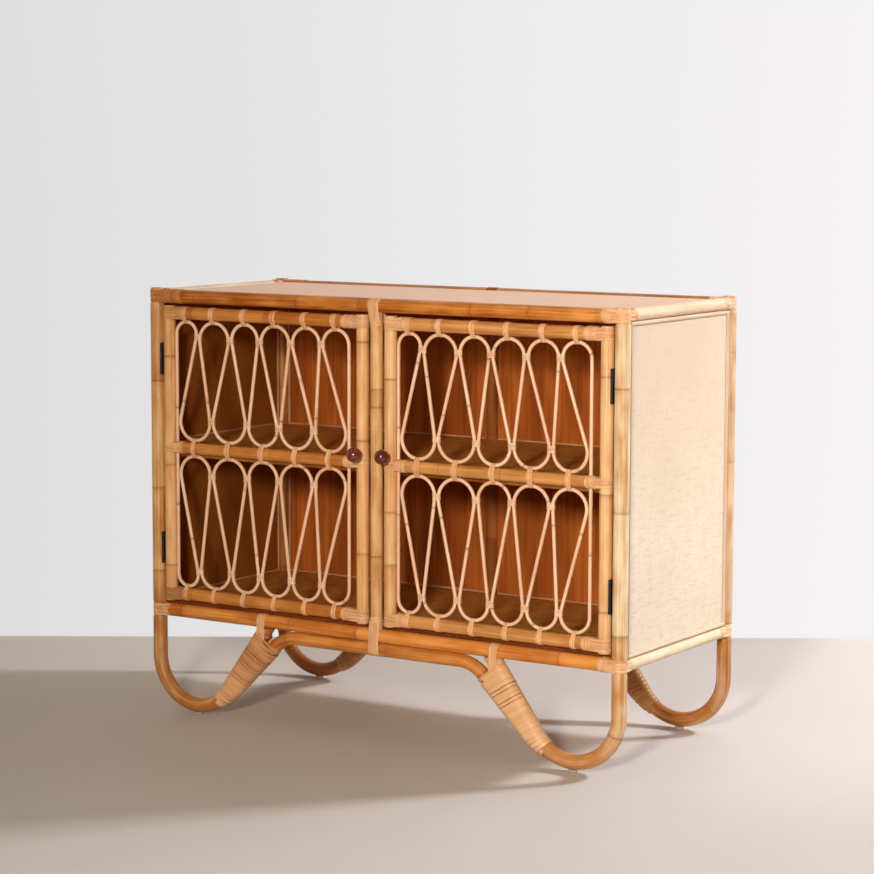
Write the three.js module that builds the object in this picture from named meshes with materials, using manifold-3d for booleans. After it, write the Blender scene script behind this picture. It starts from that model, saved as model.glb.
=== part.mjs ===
// Rattan cabinet with two lattice doors on looped legs.
// Millimetres, +Z up, +X to the right. The doors face -Y and the floor is Z = 0.

import * as THREE from 'three';
import { mergeVertices } from 'three/addons/utils/BufferGeometryUtils.js';
import Module from 'manifold-3d';

const wasm = await Module();
wasm.setup();

// Overall frame, measured between the axes of the corner poles
const postSpacingX = 1095;
const postSpacingY = 435;
const postHeight = 885;
const postRadius = 15;
const postEndRounding = 3;
const bottomRailHeight = 214;
const railRadius = 14;
const railTopDrop = 3;
const centrePostRadius = 12.5;
const backPostRadius = 14;

// Clearances
const seatGap = 0.3;
const weldDistance = 0.0001;

// Looped legs
const glideHeight = 4;
const glideRadius = 9;
const footLoopRadius = 98.5;
const legSlope = THREE.MathUtils.degToRad(54.5);

// Arches under the bottom rails
const archRadius = 13.5;
const archSlope = THREE.MathUtils.degToRad(44.6);
const archKneeOffset = 11;
const archKneeBend = 60;
const archShoulderBend = 80;
const archToeSlope = THREE.MathUtils.degToRad(25);
const archToeLength = 14;
const archToeRunout = 32;

// Peel windings that bind each arch end to its leg
const windingLoops = 13;
const windingStart = 32;
const windingTopDrop = 23;
const windingThickness = 1.2;
const windingWidthShare = 0.74;
const windingClearance = 1;
const windingLeastSpread = 3;

// Panels
const topPanelThickness = 6;
const topPanelDrop = 5;
const sidePanelThickness = 6;
const sidePanelOffset = 2;
const sideTrimWidth = 9;
const sideTrimHeight = 4.5;
const backPanelThickness = 5;
const floorPanelThickness = 5;
const shelfThickness = 5;
const shelfTopHeight = 562;
const shelfRailRadius = 12;
const shelfRailSetback = 29.5;
const notchClearance = 0.9;

// Doors
const doorStileRadius = 13;
const doorRailRadius = 13;
const doorMidRailRadius = 12;
const doorMidRailDrop = 6;
const doorPostGap = 4;
const doorCentreGap = 7.5;
const doorTopGap = 7;
const doorBottomGap = 9;
const stileOverrun = 2;

// Door lattice of bent rod
const rodRadius = 3.75;
const rodSeat = 0.6;
const rodContactGap = 0.6;
const rodCornerShare = 1.1;
const loopEndShare = 0.956;
const upperRoundRiseShare = 0.535;
const lowerRoundRiseShare = 0.5965;
const broadContactShares = [0.1325, 0.312, 0.474, 0.645, 0.809];
const narrowContactShares = [0.205, 0.404, 0.579, 0.768];
const tieThickness = 1.2;
const outerTieWidth = 15;
const midTieWidth = 12;

// Knobs
const knobRadius = 15;
const knobRise = 19;
const knobNeckRadius = 7.5;
const knobStandoff = 3.7;

// Hinges
const hingeLength = 65;
const hingeInset = 110;
const hingeForward = 10;
const hingeLeafDepth = 22;
const hingeLeafThickness = 1.4;
const hingeKnuckleRadius = 3;
const hingePinRadius = 1.2;
const hingeBoreGap = 0.3;
const hingeKnuckleGap = 0.6;
const hingeCentreShare = 0.36;

// Facets of round pieces
const poleSides = 12;
const rodSides = 6;
const tieSides = 8;
const knobSides = 16;
const hingeSides = 10;
const halfTurn = Math.PI;
const fullTurn = Math.PI * 2;
const quarterTurn = Math.PI / 2;

// Sizes worked out from the ones above
const postX = postSpacingX / 2;
const postY = postSpacingY / 2;
const topRailHeight = postHeight - railTopDrop - railRadius;
const railInnerTop = topRailHeight - railRadius - seatGap;
const railInnerBottom = bottomRailHeight + railRadius + seatGap;
const footAxisHeight = glideHeight + seatGap + postRadius;
const footX = postX - footLoopRadius;
const footZ = footAxisHeight + footLoopRadius;
const legTipHeight = bottomRailHeight - railRadius - seatGap;
const archHeight = legTipHeight - archRadius;
const hingeStileX = postX - postRadius - doorPostGap - doorStileRadius;
const latchStileX = centrePostRadius + doorCentreGap + doorStileRadius;
const doorTopRailHeight = topRailHeight - railRadius - doorTopGap - doorRailRadius;
const doorBottomRailHeight = bottomRailHeight + railRadius + doorBottomGap + doorRailRadius;
const doorMidRailHeight = shelfTopHeight - doorMidRailDrop;
const knobHeight = doorMidRailHeight + knobRise;
const stileTop = doorTopRailHeight + doorRailRadius + stileOverrun;
const stileBottom = doorBottomRailHeight - doorRailRadius - stileOverrun;
const hingeAxisX = postX - postRadius - doorPostGap / 2;
const hingeAxisY = postY + hingeForward;
const shelfRailY = postY - shelfRailSetback;
const shelfRailHeight = shelfTopHeight - shelfThickness - seatGap - shelfRailRadius;
const sidePanelInnerX = postX + sidePanelOffset - sidePanelThickness / 2;
const sidePanelOuterX = postX + sidePanelOffset + sidePanelThickness / 2;
const backPanelFrontY = postY - backPanelThickness / 2;
const knobReach = doorStileRadius + seatGap + knobStandoff + knobRadius * 2;

// Geometry helpers

function point(x, y, z) {
  return new THREE.Vector3(x, y, z);
}

function cornerRadius(radius, sides) {
  return radius / Math.cos(halfTurn / sides);
}

function signedVolume(positions, faces) {
  const corner = (index) => point(...positions.slice(index * 3, index * 3 + 3));
  let volume = 0;
  for (let f = 0; f < faces.length; f += 3) {
    const a = corner(faces[f]);
    const b = corner(faces[f + 1]);
    const c = corner(faces[f + 2]);
    volume += a.dot(b.cross(c)) / 6;
  }
  return volume;
}

function outwardGeometry(positions, faces) {
  const turned = [...faces];
  if (signedVolume(positions, faces) < 0) {
    turned.reverse();
  }
  const geometry = new THREE.BufferGeometry();
  geometry.setAttribute('position', new THREE.BufferAttribute(new Float32Array(positions), 3));
  geometry.setIndex(turned);
  return geometry;
}

// Joins rings of equal point counts, either capped at both ends or closed on themselves
function geometryFromRings(rings, closed = false) {
  const sides = rings[0].length;
  const positions = rings.flat().flatMap((p) => [p.x, p.y, p.z]);
  const faces = [];
  const spans = closed ? rings.length : rings.length - 1;
  for (let r = 0; r < spans; r += 1) {
    const next = (r + 1) % rings.length;
    for (let k = 0; k < sides; k += 1) {
      const kNext = (k + 1) % sides;
      const a = r * sides + k;
      const b = r * sides + kNext;
      const c = next * sides + kNext;
      const d = next * sides + k;
      faces.push(a, b, c, a, c, d);
    }
  }
  const last = (rings.length - 1) * sides;
  for (let k = 1; k < sides - 1 && !closed; k += 1) {
    faces.push(0, k + 1, k);
    faces.push(last, last + k, last + k + 1);
  }
  return outwardGeometry(positions, faces);
}

function sectionAngles(sides) {
  return Array.from({ length: sides }, (_, k) => ((k + 0.5) * fullTurn) / sides);
}

// One mitred ring per path point. The path lies in a plane whose normal is `across`.
function poleRings(path, cornerSize, sides, across) {
  return path.map((p, i) => {
    const before = path[Math.max(i - 1, 0)];
    const after = path[Math.min(i + 1, path.length - 1)];
    const incoming = i > 0 ? p.clone().sub(before).normalize() : after.clone().sub(p).normalize();
    const outgoing = i < path.length - 1 ? after.clone().sub(p).normalize() : incoming;
    const along = incoming.clone().add(outgoing).normalize();
    const stretch = 1 / along.dot(incoming);
    const normal = across.clone().cross(along);
    return sectionAngles(sides).map((angle) => p
      .clone()
      .addScaledVector(normal, cornerSize * Math.cos(angle) * stretch)
      .addScaledVector(across, cornerSize * Math.sin(angle)));
  });
}

function straightPole(start, end, radius, across) {
  const rings = poleRings([start, end], cornerRadius(radius, poleSides), poleSides, across);
  return geometryFromRings(rings);
}

function box(x0, x1, y0, y1, z0, z1) {
  const geometry = new THREE.BoxGeometry(Math.abs(x1 - x0), y1 - y0, z1 - z0);
  return geometry.translate((x0 + x1) / 2, (y0 + y1) / 2, (z0 + z1) / 2);
}

function uprightCylinder(x, y, z0, z1, radius, sides) {
  const geometry = new THREE.CylinderGeometry(radius, radius, z1 - z0, sides);
  geometry.rotateX(quarterTurn);
  return geometry.translate(x, y, (z0 + z1) / 2);
}

function extrudedOutline(outline, z0, thickness) {
  const shape = new THREE.Shape(outline.map(([x, y]) => new THREE.Vector2(x, y)));
  const geometry = new THREE.ExtrudeGeometry(shape, { depth: thickness, bevelEnabled: false });
  return geometry.translate(0, 0, z0);
}

function toManifold(geometry) {
  const bare = new THREE.BufferGeometry();
  bare.setAttribute('position', geometry.getAttribute('position').clone());
  bare.setIndex(geometry.index ? geometry.index.clone() : null);
  const merged = mergeVertices(bare, weldDistance);
  const vertProperties = new Float32Array(merged.getAttribute('position').array);
  const triVerts = new Uint32Array(merged.index.array);
  return new wasm.Manifold(new wasm.Mesh({ numProp: 3, vertProperties, triVerts }));
}

function fromManifold(solid) {
  const mesh = solid.getMesh();
  const geometry = new THREE.BufferGeometry();
  geometry.setAttribute('position', new THREE.BufferAttribute(new Float32Array(mesh.vertProperties), 3));
  geometry.setIndex(new THREE.BufferAttribute(new Uint32Array(mesh.triVerts), 1));
  return geometry;
}

function joined(geometries) {
  const solids = geometries.map(toManifold);
  return solids.reduce((sum, solid) => sum.add(solid));
}

// Paths in the plane of a frame, as [x, z] pairs

function arcPoints(centre, radius, startAngle, endAngle, steps) {
  return Array.from({ length: steps + 1 }, (_, i) => {
    const angle = startAngle + ((endAngle - startAngle) * i) / steps;
    return [centre[0] + radius * Math.cos(angle), centre[1] + radius * Math.sin(angle)];
  });
}

// Rounds the inner corners of a polyline, each with its own bend radius
function roundedPath(corners, bends, steps) {
  const path = [corners[0]];
  for (let i = 1; i < corners.length - 1; i += 1) {
    const here = new THREE.Vector2(...corners[i]);
    const back = new THREE.Vector2(...corners[i - 1]).sub(here).normalize();
    const ahead = new THREE.Vector2(...corners[i + 1]).sub(here).normalize();
    const halfAngle = Math.acos(back.dot(ahead)) / 2;
    const tangentLength = bends[i - 1] / Math.tan(halfAngle);
    const toCentre = back.clone().add(ahead).normalize();
    const centre = here.clone().addScaledVector(toCentre, bends[i - 1] / Math.sin(halfAngle));
    const first = here.clone().addScaledVector(back, tangentLength).sub(centre);
    const last = here.clone().addScaledVector(ahead, tangentLength).sub(centre);
    const startAngle = first.angle();
    const turn = Math.atan2(first.cross(last), first.dot(last));
    path.push(...arcPoints([centre.x, centre.y], bends[i - 1], startAngle, startAngle + turn, steps));
  }
  path.push(corners[corners.length - 1]);
  return path;
}

// Looped legs: a post that bends round a foot loop and rises inwards to the rail

const legDirection = [-Math.cos(legSlope), Math.sin(legSlope)];
const legNormal = [-Math.sin(legSlope), -Math.cos(legSlope)];
const legLoopEnd = [footX + footLoopRadius * legNormal[0], footZ + footLoopRadius * legNormal[1]];

function legPath() {
  const quarterSteps = 6;
  const riseSteps = 6;
  const quarter = arcPoints([footX, footZ], footLoopRadius, 0, -quarterTurn, quarterSteps);
  const endAngle = -quarterTurn - legSlope;
  const rise = arcPoints([footX, footZ], footLoopRadius, -quarterTurn, endAngle, riseSteps);
  const run = (legTipHeight - legLoopEnd[1]) / legDirection[1];
  const tip = [legLoopEnd[0] + legDirection[0] * run, legTipHeight];
  return [[postX, postHeight], ...quarter, ...rise.slice(1), tip];
}

function legRings(side, y, grow) {
  const path = legPath().map(([x, z]) => point(side * x, y, z));
  const rings = poleRings(path, cornerRadius(postRadius + grow, poleSides), poleSides, point(0, 1, 0));
  const tipDirection = path[path.length - 1].clone().sub(path[path.length - 2]).normalize();
  for (const corner of rings[rings.length - 1]) {
    corner.addScaledVector(tipDirection, (legTipHeight - corner.z) / tipDirection.z);
  }
  return rings;
}

function leg(side, y) {
  const rings = legRings(side, y, 0);
  const axis = point(side * postX, y, 0);
  const crown = rings[0].map((p) => {
    const axisPoint = point(axis.x, axis.y, p.z);
    return p.clone().lerp(axisPoint, postEndRounding / postRadius);
  });
  for (const corner of rings[0]) {
    corner.z -= postEndRounding;
  }
  return geometryFromRings([crown, ...rings]);
}

// Arches: a pole under the rail whose ends bend down and are scarfed to the legs

function archCorners(toeLength) {
  const knee = [legLoopEnd[0] + archKneeOffset * legNormal[0], legLoopEnd[1] + archKneeOffset * legNormal[1]];
  const shoulder = [knee[0] - (archHeight - knee[1]) / Math.tan(archSlope), archHeight];
  const toe = [knee[0] + toeLength * Math.cos(archToeSlope), knee[1] - toeLength * Math.sin(archToeSlope)];
  return [toe, knee, shoulder];
}

function archPath(toeLength) {
  const half = archCorners(toeLength);
  const other = half.map(([x, z]) => [-x, z]).reverse();
  const bendSteps = 4;
  const bends = [archKneeBend, archShoulderBend, archShoulderBend, archKneeBend];
  return roundedPath([...half, ...other], bends, bendSteps);
}

function arch(y) {
  const path = archPath(archToeLength).map(([x, z]) => point(x, y, z));
  const rings = poleRings(path, cornerRadius(archRadius, poleSides), poleSides, point(0, 1, 0));
  const pole = toManifold(geometryFromRings(rings));
  const rightLeg = toManifold(geometryFromRings(legRings(1, y, seatGap)));
  const leftLeg = toManifold(geometryFromRings(legRings(-1, y, seatGap)));
  return fromManifold(pole.subtract(rightLeg).subtract(leftLeg));
}

// Windings: one strip of peel wound round the leg and the arch end together

// Place, direction and outward normal on the leg, measured along it from the end of its loop
function legStation(s) {
  if (s >= 0) {
    const place = [legLoopEnd[0] + legDirection[0] * s, legLoopEnd[1] + legDirection[1] * s];
    return { place, direction: legDirection, normal: legNormal };
  }
  const angle = -quarterTurn - legSlope - s / footLoopRadius;
  const normal = [Math.cos(angle), Math.sin(angle)];
  const place = [footX + footLoopRadius * normal[0], footZ + footLoopRadius * normal[1]];
  return { place, direction: [normal[1], -normal[0]], normal };
}

// Distance from a leg station to the arch axis, along the station's normal
function archSpread(station, path) {
  let spread = 0;
  for (let i = 0; i < path.length - 1; i += 1) {
    const from = [path[i][0] - station.place[0], path[i][1] - station.place[1]];
    const to = [path[i + 1][0] - station.place[0], path[i + 1][1] - station.place[1]];
    const fromAlong = from[0] * station.direction[0] + from[1] * station.direction[1];
    const toAlong = to[0] * station.direction[0] + to[1] * station.direction[1];
    const fromOut = from[0] * station.normal[0] + from[1] * station.normal[1];
    const toOut = to[0] * station.normal[0] + to[1] * station.normal[1];
    if (fromAlong * toAlong <= 0 && fromAlong !== toAlong && fromOut > 0) {
      const share = fromAlong / (fromAlong - toAlong);
      spread = fromOut + (toOut - fromOut) * share;
    }
  }
  return Math.max(spread, windingLeastSpread);
}

const windingSideSteps = 5;
const windingSteps = (windingSideSteps + 1) * 2;
const windingInnerRadius = cornerRadius(postRadius, poleSides) + windingClearance;
const windingRadius = cornerRadius(windingInnerRadius, windingSideSteps * 2) + windingThickness / 2;
const windingEnd = (legTipHeight - windingTopDrop - legLoopEnd[1]) / legDirection[1];
const windingPitch = (windingEnd + windingStart) / windingLoops;
const windingWidth = windingPitch * windingWidthShare;

function windingRings(side, y) {
  const path = archPath(archToeRunout).filter(([x]) => x > 0);
  const rings = [];
  for (let i = 0; i <= windingLoops * windingSteps; i += 1) {
    const station = legStation(-windingStart + (windingPitch * i) / windingSteps);
    const spread = archSpread(station, path);
    const step = i % windingSteps;
    const onArch = step <= windingSideSteps;
    const sideStep = onArch ? step : step - windingSideSteps - 1;
    const angle = (onArch ? -quarterTurn : quarterTurn) + (halfTurn * sideStep) / windingSideSteps;
    const lean = Math.cos(angle);
    const outward = point(station.normal[0] * lean * side, Math.sin(angle), station.normal[1] * lean);
    const along = point(station.direction[0] * side, 0, station.direction[1]);
    const shift = onArch ? spread : 0;
    const centre = point(
      (station.place[0] + station.normal[0] * shift) * side,
      y,
      station.place[1] + station.normal[1] * shift,
    );
    const middle = centre.addScaledVector(outward, windingRadius);
    const corners = [[1, 1], [1, -1], [-1, -1], [-1, 1]];
    rings.push(corners.map(([o, a]) => middle
      .clone()
      .addScaledVector(outward, (o * windingThickness) / 2)
      .addScaledVector(along, (a * windingWidth) / 2)));
  }
  return rings;
}

// Least distance between the edges of neighbouring turns, on the winding's own points
function leastWindingGap(rings) {
  let least = Infinity;
  for (let i = 0; i + windingSteps < rings.length; i += 1) {
    for (let j = i + windingSteps - 1; j <= Math.min(i + windingSteps + 1, rings.length - 1); j += 1) {
      for (const p of rings[i]) {
        for (const q of rings[j]) {
          least = Math.min(least, p.distanceTo(q));
        }
      }
    }
  }
  return least;
}

function winding(side, y) {
  const rings = windingRings(side, y);
  console.log(`least gap between winding turns: ${leastWindingGap(rings).toFixed(2)} mm`);
  return geometryFromRings(rings);
}

// Frame rails and posts

function frameRailX(y, z) {
  const reach = postX - postRadius - seatGap;
  return straightPole(point(-reach, y, z), point(reach, y, z), railRadius, point(0, 1, 0));
}

function frameRailY(side, z) {
  const reach = postY - postRadius - seatGap;
  const from = point(side * postX, -reach, z);
  return straightPole(from, point(side * postX, reach, z), railRadius, point(1, 0, 0));
}

function centrePost(y, radius) {
  return straightPole(point(0, y, railInnerBottom), point(0, y, railInnerTop), radius, point(0, 1, 0));
}

function footGlide(side, y) {
  return uprightCylinder(side * footX, y, 0, glideHeight, glideRadius, poleSides);
}

// Panels

function topPanel() {
  const reachX = postX - railRadius - seatGap;
  const reachY = postY - railRadius - seatGap;
  const top = topRailHeight + railRadius - topPanelDrop;
  return box(-reachX, reachX, -reachY, reachY, top - topPanelThickness, top);
}

function sidePanel(side) {
  const reachY = postY - postRadius - seatGap;
  const inner = side * sidePanelInnerX;
  const outer = side * sidePanelOuterX;
  return box(inner, outer, -reachY, reachY, railInnerBottom, railInnerTop);
}

// A half-round moulding mitred round the edge of a side panel
function sideTrim(side) {
  const reachY = postY - postRadius - seatGap;
  const base = sidePanelOuterX + seatGap;
  const profileShares = [[0, 0], [0, 0.55], [0.25, 1], [0.75, 1], [1, 0.55], [1, 0]];
  const corners = [[-1, -1], [1, -1], [1, 1], [-1, 1]];
  const rings = corners.map(([sy, sz]) => profileShares.map(([across, out]) => {
    const inset = across * sideTrimWidth;
    const z = sz > 0 ? railInnerTop - inset : railInnerBottom + inset;
    return point(side * (base + out * sideTrimHeight), sy * (reachY - inset), z);
  }));
  return geometryFromRings(rings, true);
}

function backPanel(side) {
  const inner = backPostRadius + seatGap;
  const outer = postX - postRadius - seatGap;
  const y0 = backPanelFrontY;
  const y1 = postY + backPanelThickness / 2;
  return box(side * inner, side * outer, y0, y1, railInnerBottom, railInnerTop);
}

// Outline of a board that fits round the posts, as [x, y] pairs
function boardOutline(frontY, backY, centreNotch) {
  const reachX = sidePanelInnerX - seatGap;
  const cornerX = postX - postRadius - notchClearance;
  const cornerY = postY - postRadius - notchClearance;
  const backHalf = backPostRadius + notchClearance;
  const frontHalf = centrePostRadius + notchClearance;
  const right = [];
  right.push([backHalf, postY - backHalf], [backHalf, backY], [cornerX, backY]);
  right.push([cornerX, cornerY], [reachX, cornerY]);
  if (centreNotch) {
    right.push([reachX, -cornerY], [cornerX, -cornerY], [cornerX, -frontY]);
    right.push([frontHalf, -frontY], [frontHalf, -postY + frontHalf]);
  } else {
    right.push([reachX, -frontY]);
  }
  const left = right.map(([x, y]) => [-x, y]).reverse();
  return [...right, ...left];
}

function floorPanel() {
  const edge = backPanelFrontY - seatGap;
  return extrudedOutline(boardOutline(edge, edge, true), railInnerBottom, floorPanelThickness);
}

function shelfPanel() {
  const front = shelfRailY + shelfRailRadius;
  const bottom = shelfTopHeight - shelfThickness;
  return extrudedOutline(boardOutline(front, backPanelFrontY - seatGap, false), bottom, shelfThickness);
}

function shelfRail(y) {
  const reach = sidePanelInnerX - seatGap;
  const from = point(-reach, y, shelfRailHeight);
  return straightPole(from, point(reach, y, shelfRailHeight), shelfRailRadius, point(0, 1, 0));
}

// Door frames

function doorStile(x) {
  const foot = point(x, -postY, stileBottom);
  return straightPole(foot, point(x, -postY, stileTop), doorStileRadius, point(0, 1, 0));
}

function doorRail(side, z, radius) {
  const inner = side * (latchStileX + doorStileRadius + seatGap);
  const outer = side * (hingeStileX - doorStileRadius - seatGap);
  return straightPole(point(inner, -postY, z), point(outer, -postY, z), radius, point(0, 1, 0));
}

// Lattice: one rod that runs in loops between two rails, tied to them at each loop

function spanCircles(edges, apex, sign) {
  return edges.slice(1).map((edge, i) => {
    const radius = (edge.left - edges[i].right) / 2;
    return { x: edges[i].right + radius, z: apex - sign * radius, radius };
  });
}

// Loop circles in [x, z], with the broad row at `height` and the narrow row at zero.
// They are laid out at the rise where they are round, and flattened to the door's own rise.
function latticeCircles(width, height) {
  const half = rodRadius + rodContactGap / 2;
  const start = rodRadius + tieThickness + seatGap;
  const end = width * loopEndShare;
  const contact = (share) => ({ left: share * width - half, right: share * width + half });
  const broadEdges = [{ right: start }, ...broadContactShares.map(contact), { left: end }];
  const narrowFirst = { right: start + half * 2 };
  const narrowEdges = [narrowFirst, ...narrowContactShares.map(contact), { left: end - half * 2 }];
  return { broad: spanCircles(broadEdges, height, 1), narrow: spanCircles(narrowEdges, 0, -1), start, end };
}

// Direction of the crossing tangent from one loop to the next
function tangentAngle(from, to, fromBroad) {
  const dx = to.x - from.x;
  const dz = to.z - from.z;
  const reach = from.radius + to.radius;
  const run = Math.sqrt(dx * dx + dz * dz - reach * reach);
  const lean = Math.atan2(reach, run);
  return Math.atan2(dz, dx) + (fromBroad ? -lean : lean);
}

function loopPoint(circle, angle, broad) {
  const reach = broad ? circle.radius : -circle.radius;
  return [circle.x - reach * Math.sin(angle), circle.z + reach * Math.cos(angle)];
}

function latticePath(layout, overshoot) {
  const loops = layout.broad.flatMap((circle, i) => {
    const broadLoop = { circle, broad: true };
    return layout.narrow[i] ? [broadLoop, { circle: layout.narrow[i], broad: false }] : [broadLoop];
  });
  const halfSteps = 4;
  const path = [[layout.start, -overshoot]];
  let incoming = quarterTurn;
  loops.forEach((loop, i) => {
    const next = loops[i + 1];
    const outgoing = next ? tangentAngle(loop.circle, next.circle, loop.broad) : -quarterTurn;
    const apex = 0;
    for (const [from, to] of [[incoming, apex], [apex, outgoing]]) {
      for (let k = from === apex ? 1 : 0; k <= halfSteps; k += 1) {
        path.push(loopPoint(loop.circle, from + ((to - from) * k) / halfSteps, loop.broad));
      }
    }
    incoming = outgoing;
  });
  path.push([layout.end, -overshoot]);
  return path;
}

// Outline round a row of circles stacked along z, as [y, z] pairs
function stackOutline(circles) {
  return sectionAngles(tieSides).map((angle) => {
    const reach = (c) => c.z * Math.sin(angle) + cornerRadius(c.radius, tieSides);
    const widest = circles.reduce((best, c) => (reach(c) > reach(best) ? c : best));
    const size = cornerRadius(widest.radius, tieSides);
    return [size * Math.cos(angle), widest.z + size * Math.sin(angle)];
  });
}

// A flat band of peel round a rail and the rods beside it
function tieBand(x, y, z, width, outerCircles, holeCircles) {
  const place = (offset) => ([across, up]) => point(x + offset, y + across, z + up);
  const ring = (circles, offset) => stackOutline(circles).map(place(offset));
  const half = width / 2;
  return geometryFromRings([
    ring(outerCircles, -half),
    ring(outerCircles, half),
    ring(holeCircles, half),
    ring(holeCircles, -half),
  ], true);
}

const doorOpeningWidth = hingeStileX - latchStileX - doorStileRadius * 2;
const rodRise = rodSeat + rodRadius;
const midBandSag = (midTieWidth * midTieWidth) / (doorOpeningWidth * broadContactShares[0]) / 2;

function latticeLeft(side) {
  return side < 0 ? -hingeStileX + doorStileRadius : latchStileX + doorStileRadius;
}

// up = 1 for the upper panel, whose broad loops hang from the top rail, and -1 for the lower one
function lattice(side, up) {
  const railHeight = up > 0 ? doorTopRailHeight : doorBottomRailHeight;
  const narrowZ = doorMidRailHeight + up * (doorMidRailRadius + rodRise);
  const broadZ = railHeight - up * (doorRailRadius + rodRise);
  const roundRise = doorOpeningWidth * (up > 0 ? upperRoundRiseShare : lowerRoundRiseShare);
  const flattening = Math.abs(broadZ - narrowZ) / roundRise;
  const layout = latticeCircles(doorOpeningWidth, roundRise);
  const left = latticeLeft(side);
  const place = ([x, z]) => point(left + x, -postY, narrowZ + up * z * flattening);
  const path = latticePath(layout, (rodRise - seatGap) / flattening).map(place);
  const rod = geometryFromRings(poleRings(path, rodRadius * rodCornerShare, rodSides, point(0, 1, 0)));
  const pieces = [rod];
  const railHole = cornerRadius(doorRailRadius, poleSides) + seatGap;
  for (const circle of layout.broad) {
    const rodCircle = { z: -up * (doorRailRadius + rodRise), radius: rodRadius + tieThickness };
    const outer = [{ z: 0, radius: railHole + tieThickness }, rodCircle];
    const hole = [{ z: 0, radius: railHole }];
    pieces.push(tieBand(left + circle.x, -postY, railHeight, outerTieWidth, outer, hole));
  }
  const midHole = cornerRadius(doorMidRailRadius, poleSides) + seatGap;
  for (const circle of up > 0 ? layout.narrow : []) {
    const reach = doorMidRailRadius + rodRise;
    const loose = rodRadius * rodCornerShare + seatGap + midBandSag;
    const outer = [
      { z: 0, radius: midHole + tieThickness },
      { z: reach, radius: rodRadius + tieThickness },
      { z: -reach, radius: loose + tieThickness },
    ];
    const hole = [{ z: 0, radius: midHole }, { z: -reach, radius: loose }];
    pieces.push(tieBand(left + circle.x, -postY, doorMidRailHeight, midTieWidth, outer, hole));
  }
  return fromManifold(joined(pieces));
}

// Knobs: a turned ball on a short neck, fixed to the latch stile

function knob(side) {
  const ballSteps = 8;
  const ballCentre = knobStandoff + knobRadius;
  const neckAngle = -Math.acos(knobNeckRadius / knobRadius);
  const profile = [new THREE.Vector2(0, 0), new THREE.Vector2(knobNeckRadius, 0)];
  for (let i = 0; i < ballSteps; i += 1) {
    const angle = neckAngle + ((quarterTurn - neckAngle) * i) / ballSteps;
    profile.push(new THREE.Vector2(knobRadius * Math.cos(angle), ballCentre + knobRadius * Math.sin(angle)));
  }
  profile.push(new THREE.Vector2(0, ballCentre + knobRadius));
  const geometry = new THREE.LatheGeometry(profile, knobSides);
  geometry.rotateX(halfTurn);
  geometry.translate(side * latchStileX, -postY - doorStileRadius - seatGap, knobHeight);
  return fromManifold(toManifold(geometry));
}

// Butt hinges: a leaf on the corner post and a leaf on the door stile, on one pin

function hingeLeafPlate(side, outer, inner, z0, z1, y0, y1) {
  const xs = [side * (hingeAxisX + outer), side * (hingeAxisX + inner)].sort((a, b) => a - b);
  return box(xs[0], xs[1], y0, y1, z0, z1);
}

function hingeParts(side, z) {
  const half = hingeLength / 2;
  const centreHalf = (hingeLength * hingeCentreShare) / 2;
  const y = -hingeAxisY;
  const barrel = (z0, z1, radius) => uprightCylinder(side * hingeAxisX, y, z0, z1, radius, hingeSides);
  const plateFront = y + hingeKnuckleRadius + hingeKnuckleGap;
  const plateBack = y + hingeLeafDepth;
  const near = hingeKnuckleGap / 2;
  const far = near + hingeLeafThickness;
  return { half, centreHalf, y, barrel, plateFront, plateBack, near, far };
}

function postLeaf(side, z) {
  const h = hingeParts(side, z);
  const pieces = [hingeLeafPlate(side, h.far, h.near, z - h.half, z + h.half, h.plateFront, h.plateBack)];
  for (const direction of [-1, 1]) {
    const z0 = direction < 0 ? z - h.half : z + h.centreHalf + hingeBoreGap;
    const z1 = direction < 0 ? z - h.centreHalf - hingeBoreGap : z + h.half;
    pieces.push(h.barrel(z0, z1, hingeKnuckleRadius));
    pieces.push(hingeLeafPlate(side, h.far, h.near, z0, z1, h.y, h.plateFront + hingeLeafThickness));
  }
  pieces.push(h.barrel(z - h.half, z + h.half, hingePinRadius));
  return fromManifold(joined(pieces));
}

function doorLeaf(side, z) {
  const h = hingeParts(side, z);
  const z0 = z - h.centreHalf;
  const z1 = z + h.centreHalf;
  const pieces = [
    hingeLeafPlate(side, -h.near, -h.far, z - h.half, z + h.half, h.plateFront, h.plateBack),
    h.barrel(z0, z1, hingeKnuckleRadius),
    hingeLeafPlate(side, -h.near, -h.far, z0, z1, h.y, h.plateFront + hingeLeafThickness),
  ];
  const bore = toManifold(h.barrel(z - h.half, z + h.half, hingePinRadius + hingeBoreGap));
  return fromManifold(joined(pieces).subtract(bore));
}

// Materials

function poleMaterial() {
  return new THREE.MeshStandardMaterial({ color: 0xd08f4e, roughness: 0.42, metalness: 0 });
}

function rodMaterial() {
  return new THREE.MeshStandardMaterial({ color: 0xe6b98a, roughness: 0.5, metalness: 0 });
}

function peelMaterial() {
  return new THREE.MeshStandardMaterial({ color: 0xd9a068, roughness: 0.5, metalness: 0 });
}

function wovenMaterial() {
  return new THREE.MeshStandardMaterial({ color: 0xeccf9f, roughness: 0.7, metalness: 0 });
}

function topMaterial() {
  return new THREE.MeshStandardMaterial({ color: 0xe3a26c, roughness: 0.6, metalness: 0 });
}

function boardMaterial() {
  return new THREE.MeshStandardMaterial({ color: 0xa0562c, roughness: 0.6, metalness: 0 });
}

function shelfMaterial() {
  return new THREE.MeshStandardMaterial({ color: 0x8c6a35, roughness: 0.7, metalness: 0 });
}

function knobMaterial() {
  return new THREE.MeshStandardMaterial({ color: 0x5a1f12, roughness: 0.25, metalness: 0 });
}

function hingeMaterial() {
  return new THREE.MeshStandardMaterial({ color: 0x1c1a18, roughness: 0.45, metalness: 0.9 });
}

function glideMaterial() {
  return new THREE.MeshStandardMaterial({ color: 0x6e5a44, roughness: 0.6, metalness: 0 });
}

// Assembly

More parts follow.
